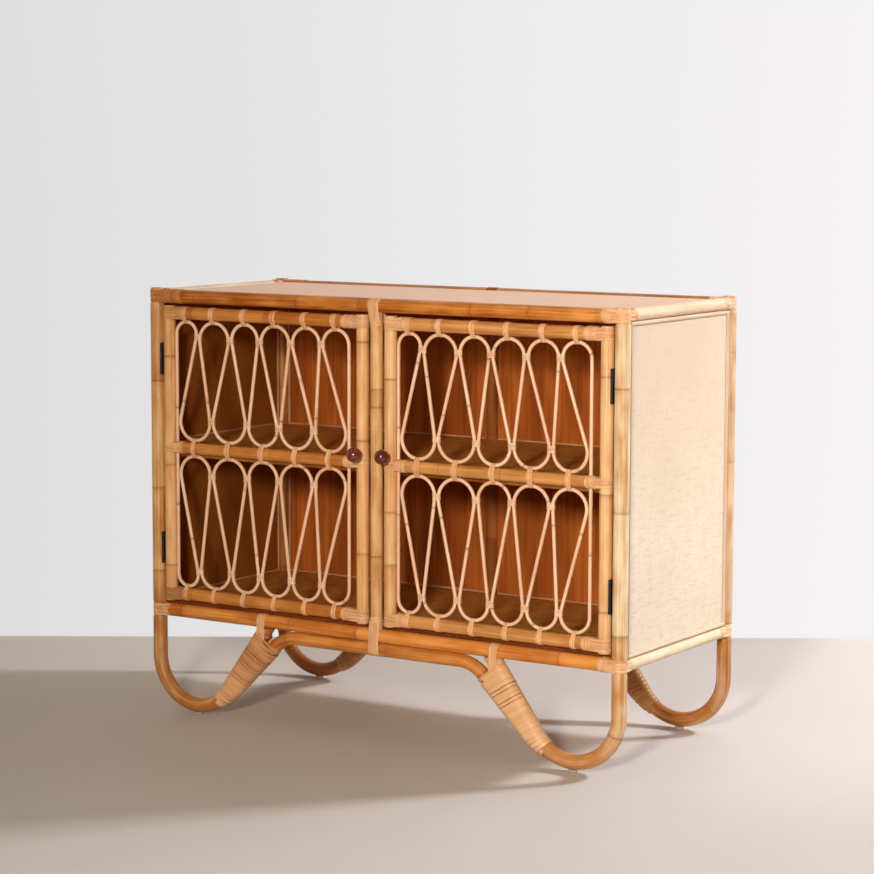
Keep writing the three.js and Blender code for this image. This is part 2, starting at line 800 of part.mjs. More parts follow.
const backReach = postY + windingRadius + windingThickness / 2;
const frontReach = postY + knobReach;
const cabinet = new THREE.Group();
cabinet.position.y = (frontReach - backReach) / 2;

function add(name, geometry, material) {
  const mesh = new THREE.Mesh(geometry, material);
  mesh.name = name;
  cabinet.add(mesh);
}

const sides = [['left', -1], ['right', 1]];
const faces = [['front', -1], ['back', 1]];

for (const [face, depth] of faces) {
  for (const [hand, side] of sides) {
    add(`leg_${face}_${hand}`, leg(side, depth * postY), poleMaterial());
    add(`leg_winding_${face}_${hand}`, winding(side, depth * postY), peelMaterial());
    add(`foot_glide_${face}_${hand}`, footGlide(side, depth * postY), glideMaterial());
  }
  add(`arch_${face}`, arch(depth * postY), poleMaterial());
  add(`top_rail_${face}`, frameRailX(depth * postY, topRailHeight), poleMaterial());
  add(`bottom_rail_${face}`, frameRailX(depth * postY, bottomRailHeight), poleMaterial());
  add(`shelf_rail_${face}`, shelfRail(depth * shelfRailY), poleMaterial());
}

add('centre_post_front', centrePost(-postY, centrePostRadius), poleMaterial());
add('centre_post_back', centrePost(postY, backPostRadius), poleMaterial());
add('top_panel', topPanel(), topMaterial());
add('floor_panel', floorPanel(), shelfMaterial());
add('shelf_panel', shelfPanel(), shelfMaterial());

for (const [hand, side] of sides) {
  add(`top_rail_${hand}`, frameRailY(side, topRailHeight), poleMaterial());
  add(`bottom_rail_${hand}`, frameRailY(side, bottomRailHeight), poleMaterial());
  add(`side_panel_${hand}`, sidePanel(side), wovenMaterial());
  add(`side_trim_${hand}`, sideTrim(side), rodMaterial());
  add(`back_panel_${hand}`, backPanel(side), boardMaterial());
  add(`door_hinge_stile_${hand}`, doorStile(side * hingeStileX), poleMaterial());
  add(`door_latch_stile_${hand}`, doorStile(side * latchStileX), poleMaterial());
  add(`door_top_rail_${hand}`, doorRail(side, doorTopRailHeight, doorRailRadius), poleMaterial());
  add(`door_mid_rail_${hand}`, doorRail(side, doorMidRailHeight, doorMidRailRadius), poleMaterial());
  add(`door_bottom_rail_${hand}`, doorRail(side, doorBottomRailHeight, doorRailRadius), poleMaterial());
  add(`lattice_upper_${hand}`, lattice(side, 1), rodMaterial());
  add(`lattice_lower_${hand}`, lattice(side, -1), rodMaterial());
  add(`knob_${hand}`, knob(side), knobMaterial());
  for (const [level, z] of [['upper', stileTop - hingeInset], ['lower', stileBottom + hingeInset]]) {
    add(`hinge_post_leaf_${level}_${hand}`, postLeaf(side, z), hingeMaterial());
    add(`hinge_door_leaf_${level}_${hand}`, doorLeaf(side, z), hingeMaterial());
  }
}

export default cabinet;
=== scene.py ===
# Rattan cabinet: the detailed pieces, materials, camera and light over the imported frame.
# Shapes are written in millimetres between the corner posts' axes and turned into metres at the end.
from math import acos, atan2, copysign, cos, hypot, pi, radians, sin, sqrt, tan
import bmesh
import bpy
import numpy as np
from mathutils import Matrix, Vector


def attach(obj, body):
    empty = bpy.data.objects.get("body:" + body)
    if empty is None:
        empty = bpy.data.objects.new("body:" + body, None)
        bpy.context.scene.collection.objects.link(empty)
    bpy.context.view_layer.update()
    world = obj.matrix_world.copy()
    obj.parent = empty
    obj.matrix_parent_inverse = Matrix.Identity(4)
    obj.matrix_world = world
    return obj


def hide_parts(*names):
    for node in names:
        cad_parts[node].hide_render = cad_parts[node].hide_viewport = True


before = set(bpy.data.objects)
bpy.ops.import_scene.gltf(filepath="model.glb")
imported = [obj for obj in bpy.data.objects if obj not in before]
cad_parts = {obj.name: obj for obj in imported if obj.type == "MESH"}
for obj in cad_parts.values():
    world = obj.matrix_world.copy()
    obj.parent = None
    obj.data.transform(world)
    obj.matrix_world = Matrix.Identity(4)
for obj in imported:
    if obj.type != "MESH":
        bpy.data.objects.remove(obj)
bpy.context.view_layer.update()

MM = 0.001
SHIFT_Y = 14.2101  # from the posts' centre to the frame's origin

# Sizes

POST_X, POST_Y, POST_TOP, POST_R = 547.5, 217.5, 885, 15
LASH_R, LASH_TOP_R = 13.5, 14.1
TOP_RAIL_Z, BOTTOM_RAIL_Z, RAIL_R = 868, 214, 14
CENTRE_R = {"front": 12.5, "back": 14}
FOOT_X, FOOT_Z, FOOT_R = 449, 117.8, 98.5
LEG_SLOPE = radians(54.5)
LEG_TIP_Z, TIP_LASH_X = 199.7, 277
ARCH_R, ARCH_Z = 13.5, 186.2
STILE_R, DOOR_RAIL_R, MID_RAIL_R = 13, 13, 12
HINGE_STILE_X, LATCH_STILE_X = 515.5, 33
DOOR_TOP_Z, DOOR_MID_Z, DOOR_BOTTOM_Z = 834, 556, 250
STILE_LOW, STILE_HIGH = 235, 849
ROD_R, ROD_RISE = 3.75, 4.35
OPENING_W = 456.5
SHELF_Z, SHELF_UNDER, FLOOR_Z = 562, 556.5, 233.3
SHELF_RAIL_Y, SHELF_RAIL_Z, SHELF_RAIL_R = 188, 544.7, 12
BOARD_IN, BOARD_OUT, BOARD_Y, BOARD_BACK = 14.3, 532.2, 215, 220
LINING_REACH, LINING_X = 202.2, 549.3
SIDE_IN, SIDE_OUT, SIDE_REACH = 546.5, 552.5, 203.3
SIDE_RAIL_R, SIDE_RAIL_Z = 12.3, {"top": 869.5, "bottom": 212.4}
KNOB_Z, KNOB_R = 575, 15
HINGE_X, HINGE_Y = 530.5, -227.5
HINGE_Z = {"upper": 739, "lower": 345}
HINGE_HALF, KNUCKLE_HALF, KNUCKLE_R, PIN_R = 32.5, 11.7, 3, 1.2
LEAF_REACH, SCREW_REACH, SCREW_RISES = 22, 14, (-23, 0, 23)
HANDS = (("left", -1), ("right", 1))
FACES = (("front", -1), ("back", 1))
LEVELS = (("top", TOP_RAIL_Z), ("bottom", BOTTOM_RAIL_Z))
STRANDS = (-9.3, -3.1, 3.1, 9.3)  # where four turns of peel lie beside each other
RIGHT, BACK, UP = np.eye(3)


# Shapes

def unit(v):
    v = np.asarray(v, float)
    return v / np.linalg.norm(v, axis=-1, keepdims=True)


def circle(count):
    """Even angles round a circle."""
    return np.linspace(0, 2 * pi, count, endpoint=False)


def arc(x, z, radius, start, end, count):
    """Points of an arc, as (x, z)."""
    return [(x + radius * cos(a), z + radius * sin(a)) for a in np.linspace(start, end, count)]


def runs(line):
    """Distances of a line's points from its start."""
    return np.concatenate([[0], np.cumsum(np.linalg.norm(np.diff(line, axis=0), axis=1))])


def sample(at, run, line):
    """The values of a line at some distances."""
    return np.stack([np.interp(at, run, values) for values in np.transpose(line)], -1)


def grain(across, out, along):
    """The lengthwise coordinates that the materials read, from millimetres."""
    return np.stack(np.broadcast_arrays(across, out, along), -1) * MM


def unevenness(s, seed, length=90):
    """Slow waves between -1 and 1 along a pole."""
    draw = np.random.RandomState(seed)
    waves = [np.sin(s * rate / length + draw.uniform(0, 6.28)) for rate in (1, 1.7, 2.9, 4.3)]
    return sum(waves) / 4


def in_scene(name, data):
    """A new object that shows some data."""
    piece = bpy.data.objects.new(name, data)
    bpy.context.scene.collection.objects.link(piece)
    return piece


class Shape:
    """Gathers closed pieces of mesh, with a grain, a mark and a tone at each point for the materials."""

    def __init__(self, seed=0):
        self.verts, self.faces = [], []
        self.layers = {"flow": [], "mark": [], "tone": []}
        self.seed = seed
        self.draw = np.random.RandomState(seed + 11)

    def own_seed(self, factor, more=0):
        """A seed for the next piece alone."""
        return self.seed * factor + len(self.verts) + more

    def add(self, rings, flow=None, mark=0, tone=0, closed=False):
        """Joins rings (n, sides, 3) into a tube. flow has the same shape; mark and tone are per ring."""
        rings = np.asarray(rings, float)
        n, sides = rings.shape[:2]
        index = sum(map(len, self.verts)) + np.arange(n * sides).reshape(n, sides)
        after = np.roll(index, -1, axis=1)
        quads = np.stack([index, after, np.roll(after, -1, axis=0), np.roll(index, -1, axis=0)], -1)
        self.faces += (quads if closed else quads[:-1]).reshape(-1, 4).tolist()
        if not closed:
            self.faces += [index[0][::-1].tolist(), index[-1].tolist()]
        self.verts.append(rings.reshape(-1, 3))
        flow = np.zeros(rings.shape) if flow is None else flow
        self.layers["flow"].append(flow.reshape(-1, 3) + self.draw.uniform(0, 9, 3))
        for label, value in (("mark", mark), ("tone", tone)):
            self.layers[label].append(np.repeat(np.broadcast_to(value, n), sides))

    def emit(self, name, material, slot, *nodes, body="cabinet", sharp=38):
        """Makes the piece, which rides on a body in place of the named nodes."""
        verts = (np.concatenate(self.verts) + (0, SHIFT_Y, 0)) * MM
        mesh = bpy.data.meshes.new(name)
        mesh.from_pydata(verts.tolist(), [], self.faces)
        for label, parts in self.layers.items():
            kind, key = ("FLOAT_VECTOR", "vector") if label == "flow" else ("FLOAT", "value")
            layer = mesh.attributes.new(label, kind, "POINT")
            layer.data.foreach_set(key, np.concatenate(parts).astype(np.float32).ravel())
        mesh.validate()
        mesh.polygons.foreach_set("use_smooth", [True] * len(mesh.polygons))
        mesh.set_sharp_from_angle(angle=radians(sharp))
        work = bmesh.new()
        work.from_mesh(mesh)
        bmesh.ops.recalc_face_normals(work, faces=work.faces)
        work.to_mesh(mesh)
        work.free()
        mesh.materials.append(material)
        piece = in_scene(name, mesh)
        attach(piece, body)
        if nodes:
            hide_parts(*nodes)


def round_rings(points, radii, sides, across):
    """Rings of a round section about a path that lies in the plane with normal `across`."""
    along = unit(np.gradient(points, axis=0))
    normal = unit(np.cross(across, along))
    angles = circle(sides)[:, None]
    spoke = normal[:, None] * np.cos(angles) + across * np.sin(angles)
    return points[:, None] + spoke * radii[:, None, None]


def rattan_pole(shape, path, radius, joints=(), across=BACK, sides=28, waists=(), crown=0.8, step=7,
                lean=0.25, round_ends=2, tones=None, scars=(0.35, 1), dark_spans=()):
    """A natural pole: slow unevenness, a scar and a slight swelling at each joint, rounded ends.

    joints are distances along the path in mm, waists are (from, to, depth) where it is cut thinner,
    and the dark spans are (from, to, share) where it is dark."""
    run = runs(path)
    length = run[-1]
    at = [*np.arange(0, length, step), length]
    for joint in joints:
        at = [s for s in at if abs(s - joint) > 10]
        at += [joint + d for d in (-9, -5, -3, -1.7, -0.9, 0, 0.9, 1.7, 3, 5, 9)]
    at += [place + d for waist in waists for place in waist[:2] for d in (-1.5, 1.5)]
    at += [crown * 0.3, crown, length - crown, length - crown * 0.3]
    at = np.unique(np.round(np.clip(at, 0, length), 3))
    seed = shape.own_seed(13)
    draw = np.random.RandomState(seed + 5)
    tones = draw.uniform(-1, 1, len(joints) + 1) if tones is None else np.array(tones, float)
    tone = tones[np.searchsorted(sorted(joints), at)]
    scale, mark = 0.988 + 0.012 * unevenness(at, seed), 0 * at
    for joint in sorted(joints):
        gap, strength = at - joint, draw.uniform(*scars)
        scale += strength * 0.02 * (np.exp(-((gap - 2.8) / 3.5) ** 2) - np.exp(-(gap / 1.3) ** 2))
        halo = strength * draw.uniform(0.2, 0.55) * np.exp(-(gap / draw.uniform(4, 11)) ** 2)
        halo *= gap * draw.choice((-1, 1)) > -0.5
        mark = np.maximum(np.maximum(mark, strength * np.exp(-(gap / 2.3) ** 2)), halo)
    for start, end, share in dark_spans:
        mark[(at > start) & (at < end)] = share
    radii = radius * np.minimum(scale, 1)
    for start, end, depth in waists:
        radii -= depth * np.clip((at - start + 1.5) / 3, 0, 1) * np.clip((end + 1.5 - at) / 3, 0, 1)
    for place in (0, length)[:round_ends]:
        inset = np.clip(1 - np.abs(at - place) / crown, 0, 1)
        radii -= crown * 0.95 * (1 - np.sqrt(1 - inset ** 2))
    points = sample(at, run, path)
    bow = lean * np.clip(np.minimum(at, length - at) / 60, 0, 1) * unevenness(at, seed + 3, 140)
    points += np.cross(unit(np.gradient(points, axis=0)), across) * bow[:, None]
    angles, thick = circle(sides), radii[:, None]
    flow = grain(thick * np.cos(angles), thick * np.sin(angles), at[:, None])
    shape.add(round_rings(points, radii, sides, across), flow, mark, tone)


def joints_along(length, seed, low=170, high=330):
    """Distances of a pole's joints, at uneven spacings."""
    draw = np.random.RandomState(seed)
    place = draw.uniform(0.3, 0.9) * low
    found = []
    while place < length - 25:
        found.append(place)
        place += draw.uniform(low, high)
    return found


# The section of a strip of peel: flat below and crowned above, as shares of width and thickness
STRIP = np.array([(-0.5, 0), (-0.5, 0.35), (-0.33, 0.86), (0, 1), (0.33, 0.86), (0.5, 0.35), (0.5, 0)])
FLAT_STRIP = np.array([(-0.5, 0), (-0.5, 0.84), (-0.47, 0.96), (0, 1), (0.47, 0.96), (0.5, 0.84), (0.5, 0)])


def add_strip(shape, points, normals, across, width, thickness, tone, wave=1, form=STRIP, closed=False):
    """A strip of peel: `across` is the way of its width and normals face out. wave varies the width."""
    widths = np.broadcast_to(width * wave, len(points))[:, None, None]
    rings = (points[:, None] + np.asarray(across)[..., None, :] * form[:, :1] * widths
             + normals[:, None] * form[:, 1:] * thickness)
    shape.add(rings, grain(STRIP[:, 0] * np.mean(width), 0, runs(points)[:, None]), 0, tone, closed)


def tight_line(origin, axis, side, circles, count):
    """Even points and outward normals on the line that a tight strip takes round some circles.

    circles lie in the plane of `side` and axis x side, as (x, y, radius). Also gives the unit axis
    and the points' distances along `side`."""
    axis, side = unit(axis), unit(side)
    plane = np.array((side, np.cross(axis, side)))
    angle = circle(1440)
    way = np.stack([np.cos(angle), np.sin(angle)], -1)
    circles = np.array(circles, float)
    widest = circles[np.argmax(way @ circles[:, :2].T + circles[:, 2], axis=1)]
    line = np.hstack([widest[:, :2] + widest[:, 2:] * way, way])
    line = np.vstack([line, line[:1]])
    run = runs(line[:, :2])
    even = sample(np.linspace(0, run[-1], count, endpoint=False), run, line)
    return axis, origin + even[:, :2] @ plane, unit(even[:, 2:]) @ plane, even[:, 0]


def wrap(shape, origin, axis, side, circles, start, turns, width, thickness, gap=0.25, count=32, rough=1):
    """A strip of peel wound `turns` times round some circles, beside itself, along `axis`.

    Its two ends are tucked under."""
    axis, outline, facing, _ = tight_line(origin, axis, side, circles, count)
    steps = np.arange(round(turns * count) + 1)
    share = steps / count
    draw = np.random.RandomState(shape.own_seed(7, 3))
    knots = np.arange(0, turns + 2, 0.5)
    jitter = np.interp(share, knots, draw.uniform(-0.25, 0.25, len(knots))) * rough
    tucked = 1 - np.clip(np.minimum(share, turns - share) / min(0.2, turns / 4), 0, 1)
    lift = 0.02 - (thickness + 0.5) * tucked ** 2
    normals = facing[steps % count]
    slide = start + width / 2 + (width + gap) * share + jitter
    points = outline[steps % count] + axis * slide[:, None] + normals * lift[:, None]
    wave = 1 + 0.05 * rough * np.sin(share * 5.1 + draw.uniform(0, 6))
    tone = np.interp(share, knots[::2], draw.uniform(-1, 1, len(knots[::2])))
    add_strip(shape, points, normals, axis, width, thickness, tone, wave)


def band(shape, origin, axis, side, circles, offset, width, thickness, lean=0, tone=None, pinch=0):
    """One closed turn of peel round some circles, centred `offset` along the axis.

    With a pinch it draws in towards the last circle."""
    count = 40
    axis, points, normals, reach = tight_line(origin, axis, side, circles, count)
    draw = np.random.RandomState(shape.own_seed(5, 1))
    near = np.clip(reach / circles[-1][0], 0, 1) ** 1.5 if pinch else 0
    slip = offset * (1 - pinch * near) + lean * np.sin(circle(count) + draw.uniform(-0.4, 0.4))
    wave = (1 + 0.04 * np.sin(circle(count) * 2 + draw.uniform(0, 6))) * (1 - pinch * near * 0.8)
    tone = draw.uniform(-1, 1) if tone is None else tone
    add_strip(shape, points + axis * slip[:, None], normals, axis, width, thickness, tone, wave, closed=True)


def lashing(name, material, seed, corner, post_way, rail_way, post_r, rail_r, heights, strip, turns,
            wrap_strip, thickness=0.8, gap=0.4, body="cabinet"):
    """Peel at the joint of a post and a rail: loops round the post that lie along the rail,
    and a winding round the rail that covers their ends."""
    shape = Shape(seed)
    for height in heights:
        circles = [(0, 0, post_r), (post_r + 12, 0, sqrt(rail_r ** 2 - height ** 2))]
        band(shape, corner, post_way, rail_way, circles, height, strip, thickness, lean=0.5)
    wrap(shape, corner, rail_way, post_way, [(0, 0, rail_r)], post_r + 2.5, turns, wrap_strip,
         thickness + 0.15, gap)
    shape.emit(name, material, "peel_binding", body=body)


def turned(shape, centre, axis, profile, sides=28):
    """A form turned about a line along `axis`. profile holds (distance along it, radius)."""
    first, second = np.eye(3)[np.array(axis) == 0]
    angles = circle(sides)[:, None]
    spoke = np.cos(angles) * first + np.sin(angles) * second
    shape.add([centre + np.array(axis) * d + r * spoke for d, r in profile])


def box_rings(shape, x0, x1, y0, y1, z0, z1, bevel=0.3):
    """A plate with eased edges."""
    (x0, x1), (y0, y1), e = sorted((x0, x1)), sorted((y0, y1)), bevel
    loops = []
    for z, inset in ((z0, e), (z0 + e, 0), (z1 - e, 0), (z1, e)):
        a, b, c, d = x0 + inset, x1 - inset, y0 + inset, y1 - inset
        loops.append([(a + e, c, z), (b - e, c, z), (b, c + e, z), (b, d - e, z),
                      (b - e, d, z), (a + e, d, z), (a, d - e, z), (a, c + e, z)])
    shape.add(loops)


# Materials

class Value:
    """An output of a node, for use in formulas."""

    def __init__(self, nodes, socket):
        self.calc, self.socket = nodes.calc, socket

    __add__ = lambda self, other: self.calc("ADD", self, other)
    __sub__ = lambda self, other: self.calc("SUBTRACT", self, other)
    __rsub__ = lambda self, other: self.calc("SUBTRACT", other, self)
    __mul__ = lambda self, other: self.calc("MULTIPLY", self, other)
    __truediv__ = lambda self, other: self.calc("DIVIDE", self, other)


class Nodes:
    """Short calls that make the nodes of a material or of the world."""

    def __init__(self, owner, shader="Principled BSDF", **looks):
        owner.use_nodes = True
        self.owner, self.tree = owner, owner.node_tree
        self.shader = self.tree.nodes[shader]
        self.put(self.shader, {key.replace("_", " "): value for key, value in looks.items()})

    def put(self, node, inputs):
        """Sets a node's inputs, in order or by name. A colour has three numbers."""
        for key, value in inputs.items() if isinstance(inputs, dict) else enumerate(inputs):
            socket = node.inputs[key]
            if isinstance(value, Value):
                self.tree.links.new(value.socket, socket)
            else:
                socket.default_value = (*value, 1) if socket.type == "RGBA" else value

    def make(self, kind, inputs=(), out=0, **settings):
        """An output of a new node."""
        node = self.tree.nodes.new("ShaderNode" + kind)
        for key, value in settings.items():
            setattr(node, key, value)
        self.put(node, inputs)
        return Value(self, node.outputs[out])

    def calc(self, operation, a, b=0, c=0, clamp=False):
        return self.make("Math", (a, b, c), operation=operation, use_clamp=clamp)

    def mix(self, share, a, b):
        return self.make("Mix", {0: share, 6: a, 7: b}, 2, data_type="RGBA")

    def noise(self, vector, scale, detail=2, roughness=0.5):
        where = self.make("Mapping", {"Vector": vector, "Scale": scale})
        looks = {"Vector": where, "Scale": 1, "Detail": detail, "Roughness": roughness}
        return self.make("TexNoise", looks, "Fac")

    def spread(self, value, low, high, to_low=0, to_high=1):
        return self.make("MapRange", (value, low, high, to_low, to_high))

    def where(self, kind="Object"):
        """The place that is shaded."""
        return self.make("TexCoord", out=kind)

    def split(self, vector):
        """The x, y and z of a vector."""
        return [self.make("SeparateXYZ", (vector,), axis) for axis in range(3)]

    def rays(self, *kinds):
        """1 for rays of the kinds."""
        seen, *others = (self.make("LightPath", out=f"Is {kind} Ray") for kind in kinds)
        for ray in others:
            seen = self.calc("MAXIMUM", seen, ray)
        return seen

    def finish(self, colour, height, bump, distance, gloss):
        relief = self.make("Bump", {"Strength": bump, "Distance": distance, "Height": height})
        self.put(self.shader, {"Base Color": colour, "Roughness": gloss, "Normal": relief})
        return self.owner


def paint(name, **looks):
    """The nodes of a new material."""
    return Nodes(bpy.data.materials.new(name), **looks)


def rattan(name, pale, deep, scar=(0.25, 0.065, 0.013), roughness=0.4, fibre=0.5, contrast=1, **looks):
    """Peeled or skinned cane, with streaks and fibres that run along it and a scar at each joint."""
    m = paint(name, **looks)
    flow = m.make("Attribute", out="Vector", attribute_name="flow")
    mark, tone = (m.make("Attribute", out="Fac", attribute_name=label) for label in ("mark", "tone"))
    streak = m.noise(flow, (210, 210, 4.5), 3, 0.6)
    mottle = m.noise(flow, (38, 38, 14))
    hair = m.noise(flow, (1300, 1300, 26), 2, 0.7)
    speck = m.noise(flow, (420, 420, 90))
    blend = m.calc("MULTIPLY_ADD", tone, 0.24, 0.5) + (streak - 0.5) * (2 * contrast)
    blend = m.calc("ADD", blend, (mottle - 0.5) * (1.7 * contrast), clamp=True)
    colour = m.mix(blend, pale, deep)
    colour = m.mix(m.spread(hair, 0.6, 0.82, 0, fibre), colour, tuple(c * 0.55 for c in deep))
    colour = m.mix(m.spread(speck, 0.7, 0.78, 0, 0.45), colour, scar)
    colour = m.mix(mark * m.spread(mottle, 0.3, 0.7, 0.7, 1), colour, scar)
    gloss = m.spread(streak, 0.3, 0.7, roughness - 0.07, roughness + 0.09)
    return m.finish(colour, hair * 0.5 + streak, 0.22, 0.0005, gloss)


def woven(name, cream, tan, shade, plane, pitch, dash, contrast, streaks, roughness=0.62, bump=0.5,
          painted_top_shade=None, **looks):
    """A fine plain weave of split cane: rows of short strands, each with its own tint.

    The optional colour that it takes with height, with the two heights in metres and the most of it, is
    painted shade that makes it darker towards the top."""
    m = paint(name, **looks)
    where = m.where()
    parts = m.split(where)
    wobble = m.calc("MULTIPLY_ADD", m.noise(where, (14, 14, 14)), 0.004, -0.002)
    u, v = ((parts[axis] + wobble) / (pitch * MM) for axis in plane)

    def strand(cell, along, length, slip):
        """The number of the strand at a place in its row."""
        shift = m.make("TexWhiteNoise", {"W": cell}, noise_dimensions="1D")
        return m.calc("FLOOR", along / length + shift * slip)

    row, column = m.calc("FLOOR", v), m.calc("FLOOR", u)
    cells = (strand(row, u, dash, 7), row), (column, strand(column, v, dash * 1.3, 5))
    weft, warp = (m.make("TexWhiteNoise", {"Vector": m.make("CombineXYZ", cell)}, noise_dimensions="2D")
                  for cell in cells)
    wave_u, wave_v = (m.calc("SINE", a * pi) for a in (u, v))
    over = m.spread(wave_u * wave_v, -0.25, 0.25)
    under = 1 - over
    tint = weft * over + warp * under
    height = m.calc("MAXIMUM", m.calc("ABSOLUTE", wave_v) * over, m.calc("ABSOLUTE", wave_u) * under)
    colour = m.mix(m.spread(tint, 0.45, 1, 0, contrast), cream, tan)
    colour = m.mix(m.spread(m.noise(where, (5, 5, 5), 3), 0.35, 0.75, 0, 0.4), colour, tan)
    # painted shade: the weave darker towards the top
    if painted_top_shade:
        colour = m.mix(m.spread(parts[2], painted_top_shade[1], painted_top_shade[2], 0, painted_top_shade[3]), colour, painted_top_shade[0])
    cell = m.make("CombineXYZ", (u, v))
    rows = m.spread(m.noise(cell, (0.075, 0.42, 1), 2, 0.45), 0.52, 0.66, 0, streaks)
    columns = m.spread(m.noise(cell, (0.3, 0.08, 1), 2, 0.45), 0.58, 0.72, 0, streaks * 0.6)
    colour = m.mix(m.calc("MAXIMUM", rows, columns), colour, tan)
    slubs = m.calc("MAXIMUM", m.spread(weft, 0.965, 0.985) * over, m.spread(warp, 0.985, 0.995) * under)
    colour = m.mix(slubs * contrast, colour, shade)
    # painted shade in the hollows between the strands
    colour = m.mix(m.spread(height, 0, 0.42, contrast * 0.7, 0), colour, shade)
    return m.finish(colour, height + tint * 0.35, bump, 0.0006, roughness)


def boards(name, pale, deep, dark, roughness=0.5, streaks=1, behind=None, **looks):
    """Stained boards with upright grain. behind is the colour of the side that faces back."""
    m = paint(name, **looks)
    where = m.where()
    x, y, z = m.split(where)
    sway = m.noise(where, (9, 9, 1.6)) * 0.05
    streak = m.noise(m.make("CombineXYZ", (x + sway, y + sway, z)), (120, 120, 2.6), 4, 0.62)
    pore = m.noise(where, (900, 900, 22), 2, 0.6)
    wide = m.noise(where, (11, 11, 1.1))
    colour = m.mix(m.spread(streak, 0.5 - 0.18 / streaks, 0.5 + 0.18 / streaks), pale, deep)
    colour = m.mix(m.spread(wide, 0.42, 0.66, 0, 0.75 * streaks), colour, dark)
    colour = m.mix(m.spread(pore, 0.62, 0.8, 0, 0.6 * streaks), colour, dark)
    if behind:
        facing = m.split(m.make("NewGeometry", out="Normal"))[1]
        colour = m.mix(m.spread(facing, 0.2, 0.6, 0, 0.6), colour, behind)
    gloss = m.spread(streak, 0.3, 0.7, roughness - 0.06, roughness + 0.1)
    return m.finish(colour, streak + pore * 0.5, 0.25, 0.0005, gloss)


def plain(name, colour, second, **looks):
    """A hard surface with faint mottling and fine scratches."""
    m = paint(name, **looks)
    where = m.where()
    mottle = m.noise(where, (180, 180, 180), 3, 0.6)
    scratch = m.noise(where, (1620, 360, 360))
    tint = m.mix(m.spread(mottle, 0.35, 0.7), colour, second)
    return m.finish(tint, mottle + scratch, 0.15, 0.0002, m.spread(scratch, 0.3, 0.7, 0.44, 0.6))


def pole(name, pale, deep):
    """A pole with its skin."""
    return rattan("rattan_" + name, pale, deep, Coat_Weight=0.1, Coat_Roughness=0.3, Specular_IOR_Level=0.35)


POST = pole("post", (0.78, 0.49, 0.215), (0.45, 0.17, 0.033))
# a paler copy for the front right leg: painted light, where more light falls on the right
POST_LIT = pole("post_painted_lit", (0.79, 0.635, 0.41), (0.52, 0.225, 0.063))
POST_TAN = pole("post_tan", (0.76, 0.54, 0.36), (0.39, 0.143, 0.02))
RAIL = pole("rail", (0.72, 0.29, 0.065), (0.38, 0.105, 0.013))
RAIL_TOP = rattan("rattan_rail_top", (0.74, 0.31, 0.068), (0.36, 0.08, 0.004), Coat_Weight=0.05,
                  Coat_Roughness=0.3, Specular_IOR_Level=0.25)
RAIL_LOW = pole("rail_low", (0.84, 0.345, 0.082), (0.5, 0.142, 0.018))
# the right door's poles take paler copies: painted light, where more light falls on the right
DOOR = {-1: pole("stile", (0.85, 0.52, 0.25), (0.62, 0.27, 0.08)),
        1: pole("stile_painted_lit", (0.83, 0.53, 0.28), (0.61, 0.28, 0.095))}
DOOR_RAIL = {-1: pole("door_rail", (0.69, 0.28, 0.062), (0.41, 0.122, 0.015)),
             1: pole("door_rail_painted_lit", (0.72, 0.35, 0.115), (0.43, 0.16, 0.038))}
BACK_POLE = pole("back_post", (0.56, 0.24, 0.06), (0.34, 0.11, 0.02))
BACK_DARK = rattan("rattan_back_dark", (0.36, 0.115, 0.022), (0.2, 0.055, 0.009), roughness=0.55,
                   Specular_IOR_Level=0.15)
LEG = {("front", -1): POST, ("front", 1): POST_LIT, ("back", -1): BACK_POLE, ("back", 1): POST_TAN}

# Dull poles and split canes: pale, deep, and the colour of the scars
DULL = dict(roughness=0.62, Specular_IOR_Level=0.2)
SIDE_POLE = rattan("rattan_side_rail", (0.83, 0.63, 0.47), (0.71, 0.495, 0.33), (0.32, 0.17, 0.07), **DULL)
SIDE_LOW = rattan("rattan_side_rail_low", (0.9, 0.74, 0.56), (0.76, 0.57, 0.38), (0.4, 0.24, 0.11), **DULL)
MOULDING = rattan("split_cane_inner", (0.62, 0.36, 0.2), (0.4, 0.19, 0.085), (0.2, 0.08, 0.03), **DULL)
TRIM = rattan("split_cane", (0.72, 0.56, 0.42), (0.6, 0.43, 0.29), (0.32, 0.17, 0.07), **DULL)

# Peeled rods and strips: pale, deep, scars, roughness, and how much the fibres show
SOFT = dict(Specular_IOR_Level=0.35)


def peel(shade, pale, deep, scar, roughness=0.45, fibre=0.5):
    return rattan("peel_strip" + shade, pale, deep, scar, roughness, fibre, **SOFT)


ROD = rattan("rattan_rod", (0.9, 0.62, 0.44), (0.8, 0.45, 0.27), (0.26, 0.1, 0.035), 0.46, 0.3)
KNOT = rattan("peel_knot", (0.92, 0.68, 0.48), (0.74, 0.44, 0.25), (0.36, 0.18, 0.08), 0.5)
PEEL = peel("", (0.84, 0.5, 0.28), (0.62, 0.3, 0.13), (0.28, 0.13, 0.05), 0.46, 0.7)
LIGHT = peel("_light", (0.88, 0.66, 0.43), (0.7, 0.44, 0.23), (0.4, 0.2, 0.09))
DARK = peel("_dark", (0.61, 0.26, 0.08), (0.38, 0.13, 0.03), (0.2, 0.08, 0.02))
BROWN = peel("_brown", (0.72, 0.39, 0.165), (0.47, 0.2, 0.065), (0.2, 0.08, 0.02))
DEEP = peel("_deep", (0.56, 0.27, 0.1), (0.33, 0.125, 0.035), (0.15, 0.05, 0.014))
TAN = rattan("peel_strip_tan", (0.8, 0.58, 0.42), (0.64, 0.42, 0.27), (0.36, 0.2, 0.1), 0.5,
             Specular_IOR_Level=0.25)
CORNER = {("top", -1, -1): DARK, ("top", -1, 1): DARK, ("top", 1, 1): TAN, ("bottom", 1, 1): LIGHT}
DOOR_CORNER = {("top", "hinge", -1): BROWN, ("bottom", "hinge", -1): DEEP}


def winding(shade, pale, deep, scar):
    return rattan("peel_winding" + shade, pale, deep, scar, 0.45, 0.3, 0.5, **SOFT)


